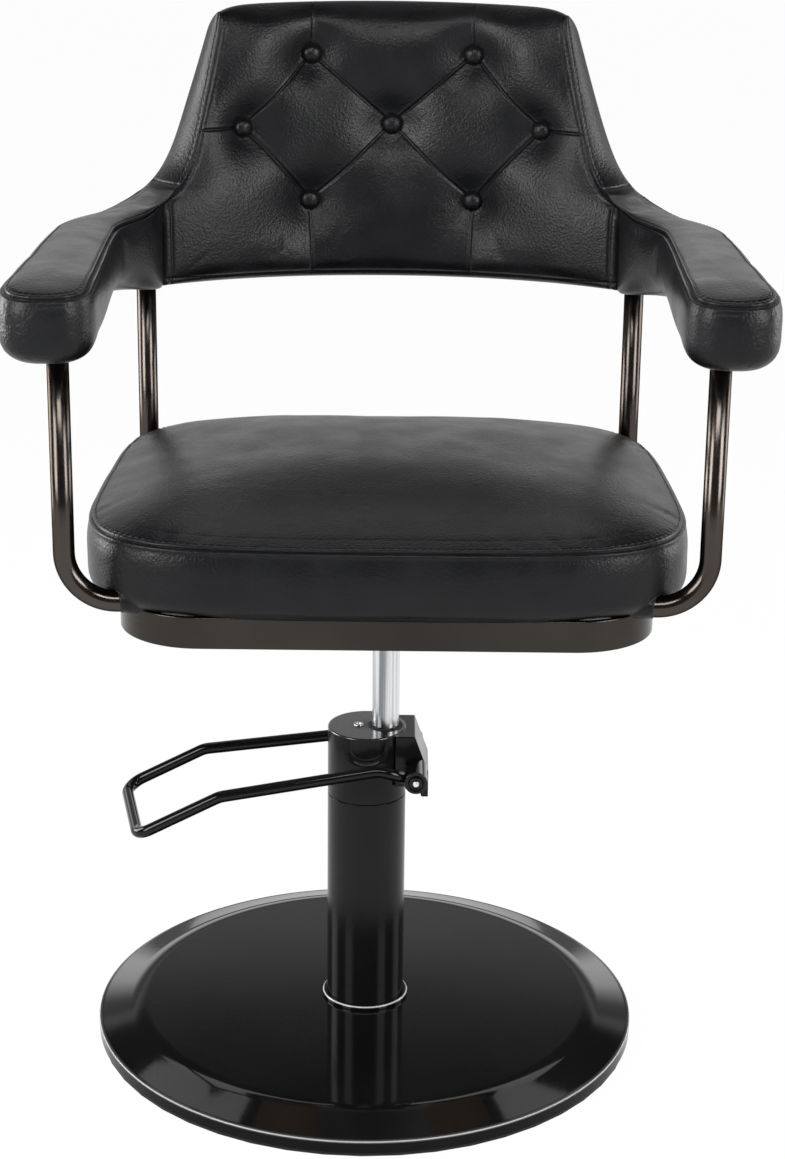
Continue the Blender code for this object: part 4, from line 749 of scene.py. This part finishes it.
def seat_plan(angle, inset):
    """Plan of the seat: a superellipse that narrows to the rear, drawn in by the inset."""
    power = np.where(np.sin(angle) < 0, 4.2, 4.6)
    along = signed_power(np.cos(angle), 2 / power)
    deep = signed_power(np.sin(angle), 2 / power)
    half_width = seat_half_width - rear_narrowing * seat_half_depth * deep
    return np.stack(((half_width - inset) * along, seat_middle_y + (seat_half_depth - inset) * deep), -1)


def clear_of_tube(points, path, radius):
    """Moves points that lie inside a tube straight out from its centre line to its surface."""
    start, step = path[:-1], np.diff(path, axis=0)
    offset = points[:, None] - start
    share = np.clip(np.sum(offset * step, -1) / np.sum(step * step, -1), 0.0, 1.0)
    away = offset - share[..., None] * step
    far = np.linalg.norm(away, axis=-1)
    nearest = np.argmin(far, axis=1)
    pick = np.arange(len(points))
    away, far = away[pick, nearest], far[pick, nearest]
    grown = np.maximum(far, radius)
    return points + away * ((grown - far) / np.maximum(far, 1e-6))[:, None]


seat_columns, seam_inset = 1120, 0.004
seam_z, crown, edge_roll, lip_z = 0.570, 0.032, 0.004, 0.5045
boxing_height = seam_z - lip_z
plan_angle = np.linspace(0.0, math.tau, 40001)
plan_run = run_along(seat_plan(plan_angle, seam_inset))
seam_run = np.linspace(0.0, plan_run[-1], seat_columns, endpoint=False)
seat_angle = np.interp(seam_run, plan_run, plan_angle)
seam_plan = seat_plan(seat_angle, seam_inset)
from_seam = np.concatenate((np.linspace(0.262, 0.020, 30), np.linspace(0.018, 0.0007, 22)))
top_share = np.maximum(1.0 - from_seam / 0.268, 0.02)
boxing_drop = np.concatenate((np.linspace(0.0007, 0.012, 16), np.linspace(0.014, boxing_height, 40)))
seat_rows = []
for share, gap in zip(np.append(top_share, 1.0), np.append(from_seam, 0.0)):
    level = seam_z + crown * (1.0 - share**2.2) + edge_roll * (1.0 - math.exp(-gap / 0.009))
    seat_rows.append(at_level(seam_plan * share, level))
for drop in boxing_drop:
    height = 1.0 - drop / boxing_height
    tuck_in = 0.0100 * max(1.0 - height / 0.28, 0.0) ** 2.2
    lean_in = seam_inset * (max(height - 0.62, 0.0) / 0.38) ** 2
    seat_rows.append(at_level(seat_plan(seat_angle, tuck_in + lean_in), lip_z + boxing_height * height))
under_tuck = ((0.0115, 0.5043), (0.0150, 0.5066), (0.0227, 0.5070), (0.0227, 0.520), (0.0227, 0.5368))
for inset, level in under_tuck:
    seat_rows.append(at_level(seat_plan(seat_angle, inset), level))
seat_grid = np.array(seat_rows)
inside = np.concatenate((from_seam, [0.0], -boxing_drop, np.full(len(under_tuck), -0.08)))[:, None]
seat_held = np.broadcast_to((np.abs(inside) < 0.003) | (inside < -0.054), seat_grid.shape[:2])
seat_grid = seat_grid + swell(seat_grid, seat_held, 0.005, 3, 8, True)

seat_pitch, seat_stitch_line = 0.0068, 0.0042
seat_relief = seam_relief(inside, seam_run, seat_stitch_line, seat_pitch, 3)
seat_wave = lattice_noise(seat_grid, 0.055, 5) * 0.0005 + lattice_noise(seat_grid, 0.022, 6) * 0.00016
corner_pull = bell(np.abs(seat_grid[..., 0]) - 0.245, 0.038) * bell(seat_grid[..., 1] + 0.205, 0.042)
seat_wrinkle = -0.00030 * corner_pull * crumple(seat_grid * (1.0, 1.0, 1.4), 0.0066, 70)
seat_wrinkle = seat_wrinkle * (inside < -0.004) * (inside > -0.058)
seat_normals = grid_normals(seat_grid, True)
seat_normals = seat_normals * np.sign(seat_normals[:10, :, 2].mean())
seat_lift = (seat_relief + seat_wave + seat_wrinkle) * (inside > -0.062)
seat_grid = seat_grid + seat_normals * seat_lift[..., None]
lower = inside[:, 0] < -0.030
for path in hoop_paths.values():
    cleared = clear_of_tube(seat_grid[lower].reshape(-1, 3), path, tube_radius + 0.0010)
    seat_grid[lower] = cleared.reshape(seat_grid[lower].shape)
seat = fit(skin("seat_leather", seat_grid), seat_leather, "seat", "leather", "seat_cushion")
stitched_row = int(np.argmin(np.abs(inside[:, 0] - seat_stitch_line)))
stitch_row("seat_stitches", seat_grid[stitched_row], seat_normals[stitched_row], seat_pitch, True)

# Arms: foam round a plywood core under leather. The top strip is sewn along both sides and round the front
# end, and runs on into the edge strip of the back, where the arm is sewn to the back's side.

back_radius, back_axis_y, back_low, back_top, back_lean = 0.311, -0.066, 0.7179, 0.987, 0.08
arm_top, arm_low, arm_drop, arm_rise = 0.806, 0.7377, 0.0135, 0.011
inner_x, joint_x, sew_gap, bend_y, nose_y = 0.2545, 0.2235, 0.0006, 0.040, -0.203
arm_width, arm_narrowing, bend_pull = 0.080, 0.014, 0.046
nose_flare, nose_shift, nose_sag, nose_reach, nose_power = 0.003, 0.005, 0.003, 0.040, 2.4
upper_power, lower_power, joint_power = 4.4, 3.2, 16.0
side_slope, arm_fillet = 0.20, 0.0223


def back_thickness(z):
    """Thickness of the back at its side edges, on straight lines between three levels."""
    return np.interp(z, (back_low, arm_top, back_top), (0.070, 0.050, 0.024))


def back_side(z):
    """Half the width of the inner face: upright beside the arms, then flaring in and sloping."""
    above = np.maximum(z - arm_top, 0.0)
    slope = 0.165 + side_slope * (back_top - z) + arm_fillet * np.exp(-above / 0.018)
    return np.where(z < arm_top, joint_x, slope)


def arm_section(angle, above, below):
    """Half a section, by angle from the top down: a superellipse of one power above and another below."""
    power = 2 / np.where(angle > 0.0, above, below)
    return np.abs(np.cos(angle)) ** power, signed_power(np.sin(angle), power)


section_angle = np.linspace(math.pi / 2, -math.pi / 2, 4001)
section = np.stack(arm_section(section_angle, upper_power, lower_power), -1)
section_run = run_along(section) * 0.036
seam_at = np.interp(-0.84, -section[:, 1], section_run)
arm_from_seam = np.concatenate((
    np.linspace(seam_at, 0.013, 14), np.linspace(0.012, 0.0006, 20), [0.0],
    np.linspace(-0.0006, -0.010, 16), np.linspace(-0.0113, seam_at - section_run[-1], 66)))
row_angle = np.interp(seam_at - arm_from_seam, section_run, section_angle)[:, None]
out_share, up_share = arm_section(row_angle, upper_power, lower_power)
square_out, square_up = arm_section(row_angle, joint_power, joint_power)
out_share[[0, -1]] = 0.0
square_out[[0, -1]] = 0.0

bend_steps, straight_steps, nose_steps = 84, 140, 128
closing_shrink = [0.0, 0.5, 0.93, 0.985, 0.997]
bend_share = np.linspace(1.0, 0.0, bend_steps)[1:]
straight_y = np.linspace(bend_y, nose_y, straight_steps + 1)[1:]
end_share = np.concatenate((np.full(4, 1.0), [0.994], bend_share, np.zeros(straight_steps)))
end_shrink = np.concatenate((closing_shrink, np.ones(len(end_share) - len(closing_shrink))))
end_y = np.concatenate((np.full(len(end_share) - straight_steps, bend_y), straight_y))


def arm_side(sign):
    """One side of an arm, from the joint to the nose. The plan runs straight, then along a cubic curve to
    the back's side, rising into the back's edge. The section spans the inner and outer line, and turns
    from a superellipse to a square as it meets the back."""
    blend = ease(end_share)
    squared = ease((end_share - 0.45) / 0.55)
    out_part = out_share + (square_out - out_share) * squared
    up_part = up_share + (square_up - up_share) * squared
    high = arm_top + arm_rise * end_share**7
    taper = np.clip((end_y - nose_y) / (bend_y - nose_y), 0.0, 1.0)
    to_nose = ease(1.0 - taper)
    low = arm_low - blend * arm_drop - nose_sag * to_nose
    z = high - (high - low) * (0.5 - 0.5 * up_part)
    w0, w1 = (1 - end_share) ** 3, 3 * end_share * (1 - end_share) ** 2
    w2, w3 = 3 * end_share**2 * (1 - end_share), end_share**3
    end_x = back_side(z) + sew_gap
    sine = end_x / back_radius
    end_of_arm = back_axis_y + back_lean * (z - back_low) + back_radius * np.sqrt(1 - sine**2)
    line_x = (w0 + w1) * inner_x + (w2 + w3) * end_x - nose_shift * to_nose
    line_y = (w0 + w1) * end_y + w1 * bend_pull + (w2 + w3) * end_of_arm - w2 * bend_pull
    own_width = arm_width - arm_narrowing * taper
    width = (1 - blend) * own_width + blend * back_thickness(z) + nose_flare * to_nose
    swing = blend * (math.pi / 2 - np.arcsin(sine))
    out = (0.5 + 0.5 * sign * out_part * end_shrink) * width
    x = line_x + out * np.cos(swing)
    y = line_y + out * np.sin(swing)
    return np.stack(np.broadcast_arrays(x, y, z), -1)


def arm_nose():
    """The round front end: the same section fanned round the end of the arm's middle line, out to a
    superellipse in plan, with its top a little lower towards the front."""
    fan = np.linspace(math.pi, math.tau, nose_steps + 2)[1:-1]
    half_width = 0.5 * (arm_width + nose_flare)
    reach_x = half_width * signed_power(np.cos(fan), 2 / nose_power)
    reach_y = -nose_reach * np.abs(np.sin(fan)) ** (2 / nose_power)
    x = inner_x - nose_shift + half_width + out_share * reach_x
    y = nose_y + out_share * reach_y
    dip = 0.0020 * np.abs(np.sin(fan)) * out_share**2 * np.maximum(up_share, 0.0)
    low = arm_low - nose_sag
    z = 0.5 * (arm_top + low) + 0.5 * (arm_top - low) * up_share - dip
    return np.stack(np.broadcast_arrays(x, y, z), -1)


def end_ease(run, start, length):
    """0 up to a start at both ends of a run, then a smooth step to 1 over the length."""
    return ease((run - start) / length) * ease((run[-1] - start - run) / length)


arm_leather = leather_finish("black_leather_arm", (1.0, 1.0, 1.0), 0.15)
arm_grid = np.concatenate((arm_side(-1.0), arm_nose(), arm_side(1.0)[:, ::-1]), 1)
upper_weight = ease((arm_grid[..., 2] - arm_low) / (arm_top - arm_low))
front_roll, roll_start, roll_length = 0.0055, -0.178, 0.070
arm_grid[..., 2] -= front_roll * upper_weight * ease((roll_start - arm_grid[..., 1]) / roll_length)
arm_inside = arm_from_seam[:, None]
arm_run = run_along(arm_grid[int(np.argmin(np.abs(arm_from_seam)))])
end_fade = end_ease(arm_run, 0.030, 0.020)
arm_held = (np.abs(arm_inside) < 0.002) | (end_fade < 0.5)[None, :]
arm_grid = arm_grid + swell(arm_grid, arm_held, 0.0025, 4, 6, False)
arm_normals = grid_normals(arm_grid, False)
arm_normals *= np.sign(arm_normals[8, 200:240, 2].mean())
arm_pitch, arm_stitch_line = 0.0064, 0.0044
arm_relief = seam_relief(arm_inside, arm_run, arm_stitch_line, arm_pitch, 11)
arm_wave = lattice_noise(arm_grid, 0.040, 12) * 0.0006 + lattice_noise(arm_grid, 0.016, 13) * 0.00018
nose_weight = bell(arm_grid[..., 1] + 0.240, 0.030) * ease((arm_grid[..., 0] - 0.275) / 0.030)
arm_wrinkle = -0.00021 * crumple(arm_grid * (1.0, 1.0, 1.4), 0.0050, 90) * nose_weight
arm_wrinkle = arm_wrinkle * ease((-0.004 - arm_inside) / 0.004)
arm_lift = arm_relief * end_ease(arm_run, 0.027, 0.004) + (arm_wave + arm_wrinkle) * end_fade
arm_grid = arm_grid + arm_normals * (arm_lift * ease(out_share / 0.3))[..., None]
stitched_row = int(np.argmin(np.abs(arm_from_seam - arm_stitch_line)))
stitched = (arm_run > 0.034) & (arm_run < arm_run[-1] - 0.034)
for name, side in (("left", -1.0), ("right", 1.0)):
    mirrored = arm_grid * (side, 1.0, 1.0)
    arm = weld(skin(f"arm_leather_{name}", mirrored, wrap_columns=False, caps=False))
    fit(arm, arm_leather, "seat", "leather", f"arm_pad_{name}")
    stitch_row(f"arm_stitches_{name}", mirrored[stitched_row, stitched],
               arm_normals[stitched_row, stitched] * (side, 1.0, 1.0), arm_pitch, False)

# Back: a barrel of foam on a bent plywood core under leather. Seven covered buttons are pulled through it
# with sewn pleats between them, an edge strip closes its sides, and a narrow hem its lower edge.

middle_button = (0.0, 0.8725)
button_places = [middle_button]
pleats = []
for side in (-1, 1):
    top, outer, low = (side * 0.081, 0.942), (side * 0.1485, 0.8725), (side * 0.0824, 0.798)
    button_places += [top, outer, low]
    pleats += [(start, end, True) for start in (middle_button, outer) for end in (top, low)]
    pleats += [(top, (top[0], 1.02), False), (low, (low[0], 0.70), False)]
    pleats += [(outer, (side * 0.26, 0.8735), False)]


def back_point(x, z, depth):
    """A point of the barrel: x is along its inner face, whose sine is x over the radius; z is up; depth
    goes rearwards along the spoke, and the axis leans back with the height."""
    sine = x / back_radius
    reach = back_radius + depth
    y = back_axis_y + back_lean * (z - back_low) + reach * np.sqrt(1.0 - sine**2)
    return np.stack(np.broadcast_arrays(reach * sine, y, z), -1)


def pleat_frame(x, z, start, end):
    """Distance beside a pleat's line, distance along it, distance above it, and its length."""
    start, end = np.array(start), np.array(end)
    length = np.linalg.norm(end - start)
    along = (end - start) / length
    normal = np.array((-along[1], along[0]))
    normal *= 1.0 if normal[1] > 0.1 else -1.0
    run = np.clip((x - start[0]) * along[0] + (z - start[1]) * along[1], 0.0, length)
    beside = np.hypot(x - start[0] - run * along[0], z - start[1] - run * along[1])
    above = (x - start[0]) * normal[0] + (z - start[1]) * normal[1]
    return beside, run, above, length


def tufting(x, z):
    """Three fields of the face. Kept is the share of the full padding: each button pulls a dimple that
    fades beyond its rim, and each pleat a valley. Crease is the sewn line with a lip of hide above it.
    Free is 0 on the lines and 1 away from them."""
    kept, crease, free = np.ones_like(x), np.zeros_like(x), np.ones_like(x)
    for bx, bz in button_places:
        far = np.hypot(x - bx, z - bz)
        kept *= 1.0 - 0.95 * np.exp(-(np.maximum(far - 0.0080, 0.0) / 0.0215) ** 1.15)
        free *= 1.0 - bell(far, 0.020)
    for start, end, between in pleats:
        beside, run, above, length = pleat_frame(x, z, start, end)
        near = np.minimum(run, length - run) if between else run
        kept *= 1.0 - (0.22 + 0.22 * np.exp(-near / 0.030)) * np.exp(-beside / 0.0110)
        lip = 0.00045 * bell(above - 0.0022, 0.0014) * (np.abs(above) > 0.999 * beside)
        crease = np.where(beside < 0.006, lip - 0.0017 * bell(beside, 0.0010), crease)
        free *= 1.0 - bell(beside, 0.011)
    return kept, crease, free


def sewn_rise(gap, width):
    """Rise of padding from its sewn edge: a parabola that levels out at the width."""
    return 1.0 - (1.0 - np.clip(gap / width, 0.0, 1.0)) ** 2


front_columns, rear_columns, strip_columns, face_rows, roll_rows = 400, 90, 26, 250, 16
across = np.sin(1.25 * np.linspace(-1.0, 1.0, front_columns)) / math.sin(1.25)
rear_across = np.linspace(1.0, -1.0, rear_columns)
strip_share = np.linspace(0.0, 1.0, strip_columns + 2)[1:-1] ** 1.6
column_across = np.concatenate((across, np.ones(strip_columns), rear_across, -np.ones(strip_columns)))[None]
column_rear = np.concatenate(
    (np.zeros(front_columns), strip_share, np.ones(rear_columns), strip_share[::-1]))[None]
low_edge = back_low + 0.0063 * column_across**2
top_edge = back_top + 0.005 - 0.0015 * column_across**2 - 0.006 * np.abs(column_across) ** 18
low_roll, top_roll = 0.007, 0.020
level = np.concatenate((np.zeros(roll_rows), np.linspace(0.0, 1.0, face_rows), np.ones(roll_rows)))[:, None]
roll_sine = np.sin(np.linspace(0.5 * math.pi, 0.0, roll_rows, endpoint=False))
lower_sine = np.concatenate((roll_sine, np.zeros(face_rows + roll_rows)))[:, None]
upper_sine = np.concatenate((np.zeros(roll_rows + face_rows), roll_sine[::-1]))[:, None]
back_z = low_edge + low_roll + level * (top_edge - low_edge - low_roll - top_roll)
back_z = back_z - low_roll * lower_sine**0.5 + top_roll * upper_sine
pinch = np.maximum(1.0 - lower_sine**2, 0.0) ** 0.2 * np.sqrt(np.maximum(1.0 - upper_sine**2, 0.0))
half_face = back_side(back_z)
back_x = column_across * half_face
to_side = half_face - np.abs(back_x)
softened = 0.008 * np.log1p(np.exp((back_z - arm_top) / 0.008))
soft_side = joint_x - side_slope * softened - arm_fillet * (1.0 - np.exp(-softened / 0.022))
side_gap = np.maximum(np.minimum(soft_side - np.abs(back_x), to_side), 0.0)
side_width = 0.048 + 0.014 * ease((arm_top + 0.030 - back_z) / 0.050)
edge = sewn_rise(side_gap, side_width) * sewn_rise(back_z - low_edge, 0.024)
edge = edge * sewn_rise(top_edge - back_z, 0.050)
kept, crease, free = tufting(back_x, back_z)
hem = bell(back_z - low_edge - 0.0085, 0.0010)
side_seam = bell(to_side, 0.0012)
side_roll = bell(to_side - 0.0032, 0.0020)
beside_arm = ease((arm_top + 0.006 - back_z) / 0.006)
joint_line = bell(to_side - 0.0062, 0.0010) * beside_arm
puff = edge * 0.0165 * kept + crease * ease(to_side / 0.003) * ease((back_z - low_edge - 0.009) / 0.003)
puff = puff - 0.0014 * hem - 0.0022 * side_seam + 0.0005 * side_roll - 0.0014 * joint_line
flat_points = np.stack(np.broadcast_arrays(back_x, 0.0, back_z), -1)
puff = puff + lattice_noise(flat_points, 0.050, 21) * 0.0004 * edge
puff = puff + lattice_noise(flat_points, 0.018, 22) * 0.00012 * edge
thickness = back_thickness(back_z)
rear_crown = 0.012 * (1 - column_across**4) * (1 - (2 * level - 1) ** 4)
rear_depth = thickness + rear_crown + lattice_noise(flat_points, 0.050, 23) * 0.0008
depth = np.where(column_rear <= 0.0, -puff, column_rear * thickness)
depth = np.where(column_rear >= 1.0, rear_depth, depth)
crest_depth = np.where(upper_sine > 0.0, 0.35, 0.5) * thickness
depth = crest_depth + (depth - crest_depth) * pinch
strip_stitch_line = 0.0058
from_face = column_rear * thickness
strip_relief = 0.0022 * np.sin(math.pi * column_rear) - 0.0016 * bell(from_face, 0.0012)
strip_relief = strip_relief + 0.0005 * bell(from_face - 0.0031, 0.0018)
strip_relief = strip_relief - 0.0004 * bell(from_face - strip_stitch_line, 0.0010)
strip_relief = strip_relief - 0.0011 * bell(back_z - arm_top - 0.0155, 0.0010)
on_strip = (column_rear > 0.0) & (column_rear < 1.0)
strip_relief = strip_relief * on_strip * ease((back_z - arm_top) / 0.006) * np.sign(column_across)
back_grid = back_point(back_x + strip_relief, back_z, depth)
free_face = np.where(column_rear <= 0.0, edge * free, 0.0)
back_grid = back_grid + swell(back_grid, free_face < 0.12, 0.005, 4, 4, True) * free_face[..., None]
back_leather = leather_finish("black_leather_back", (1.0, 1.0, 1.0), 0.19)
back = weld(skin("back_leather", back_grid, caps=False))
fit(back, back_leather, "seat", "leather", "back_pad")
strip_z = np.linspace(arm_top + 0.020, back_top - 0.012, 160)
for name, side in (("left", -1.0), ("right", 1.0)):
    stitch_line = back_point(side * (back_side(strip_z) + 0.0006), strip_z, strip_stitch_line)
    strip_normals = np.tile((side, -0.2, 0.2), (len(strip_z), 1))
    stitch_row(f"back_stitches_{name}", stitch_line, strip_normals, 0.0060, False)

# Buttons: seven domed tinplate shells covered in the same leather as the back. Twine through the foam and
# the plywood core pulls each of them down into its dimple.

shell_angle = np.linspace(0.04, math.pi / 2, 18)
dome = np.column_stack((0.0099 * np.sin(shell_angle) ** 0.9, 0.0078 * np.cos(shell_angle) ** 0.85))
dome = np.vstack((dome, [(0.0097, -0.0008), (0.0090, -0.0015)]))
for number, (bx, bz) in enumerate(button_places, 1):
    sine = bx / back_radius
    forward = np.array((-sine, -math.sqrt(1.0 - sine**2), 0.0))
    dimple = back_point(np.array(bx), np.array(bz), np.array(0.0010))
    button = skin(f"covered_button_{number}", turned(dome, dimple + forward * 0.0018, forward, 64))
    fit(button, back_leather, "seat", "leather", f"back_button_{number}")

# Floor, lights and camera: a plain white studio floor under a dim sky with a bright band low down. Softboxes
# stand left and right before the chair, high in front, overhead and behind, and a strip on each side. The
# camera stands where the photograph was taken.

floor_grid = np.array([[(x, y, -0.0004) for x in (-30.0, 30.0)] for y in (-30.0, 30.0)])
floor = skin("studio_floor", floor_grid, wrap_columns=False, caps=False)
white, tree, shader = start_material("white_floor", {"Base Color": (0.9, 0.9, 0.9, 1.0), "Roughness": 0.9})
glow = tree.nodes.new("ShaderNodeEmission")
rays = tree.nodes.new("ShaderNodeLightPath")
seen = combine(tree, "MAXIMUM", rays.outputs["Is Camera Ray"], rays.outputs["Is Glossy Ray"])
seen = combine(tree, "MAXIMUM", seen, rays.outputs["Is Transmission Ray"])
mixed = tree.nodes.new("ShaderNodeMixShader")
tree.links.new(combine(tree, "MULTIPLY", seen, 0.97), mixed.inputs["Fac"])
tree.links.new(shader.outputs["BSDF"], mixed.inputs[1])
tree.links.new(glow.outputs["Emission"], mixed.inputs[2])
tree.links.new(mixed.outputs["Shader"], tree.nodes["Material Output"].inputs["Surface"])
floor.data.materials.append(white)

world = bpy.data.worlds.new("studio")
bpy.context.scene.world = world
world.use_nodes = True
tree = world.node_tree
sky = tree.nodes["Background"]
direction = tree.nodes.new("ShaderNodeTexCoord")
split = tree.nodes.new("ShaderNodeSeparateXYZ")
tree.links.new(direction.outputs["Generated"], split.inputs["Vector"])
glow_by_height = ((0.0, 0.12), (0.10, 0.15), (0.17, 1.0), (0.265, 1.0), (0.35, 0.20), (0.40, 0.15),
                  (0.432, 0.32), (0.445, 0.28), (0.475, 0.06), (0.50, 0.02))
tint(tree, split.outputs["Z"], sky.inputs["Color"],
     [(height, (grey,) * 3) for height, grey in glow_by_height])
spread(tree, split.outputs["Y"], sky.inputs["Strength"], 0.20, 1.9, -0.1, 0.5)


def softbox(name, place, aim, size, power):
    """A rectangular lamp at a place, turned to face a point."""
    data = bpy.data.lights.new(name, "AREA")
    data.shape = "RECTANGLE"
    data.size, data.size_y = size
    data.energy = power
    ray = Vector(aim) - Vector(place)
    lamp = place_in_scene(name, data)
    lamp.matrix_world = Matrix.Translation(place) @ ray.to_track_quat("-Z", "Y").to_matrix().to_4x4()


softbox("front_left_key", (-1.9, -1.6, 1.45), (0.0, 0.0, 0.75), (1.0, 1.4), 46.0)
softbox("front_right_fill", (1.9, -1.6, 1.45), (0.0, 0.0, 0.75), (1.0, 1.4), 42.0)
softbox("front_top", (0.0, -2.2, 2.6), (0.0, 0.0, 0.9), (1.6, 0.6), 30.0)
softbox("overhead_softbox", (0.0, 0.8, 2.9), (0.0, 0.1, 0.6), (2.2, 0.8), 5.0)
softbox("rear_softbox", (-0.1, 1.9, 2.75), (0.0, 0.0, 0.6), (3.0, 1.2), 15.0)
softbox("left_strip", (-2.2, 0.6, 1.0), (0.0, 0.1, 0.8), (1.0, 1.4), 42.0)
softbox("right_strip", (2.2, 0.6, 1.0), (0.0, 0.1, 0.8), (1.0, 1.4), 24.0)

camera_data = bpy.data.cameras.new("photo_camera")
camera_data.lens = 77.68
camera_data.shift_x = 0.0049
camera_data.shift_y = 0.0144
camera = place_in_scene("photo_camera", camera_data)
camera.matrix_world = (Matrix.Translation((0.0, -2.289, 1.237))
                       @ Matrix.Rotation(math.pi / 2 - 0.3290, 4, "X")
                       @ Matrix.Rotation(math.radians(0.62), 4, "Z"))
bpy.context.scene.camera = camera
bpy.context.scene.view_settings.view_transform = "Standard"
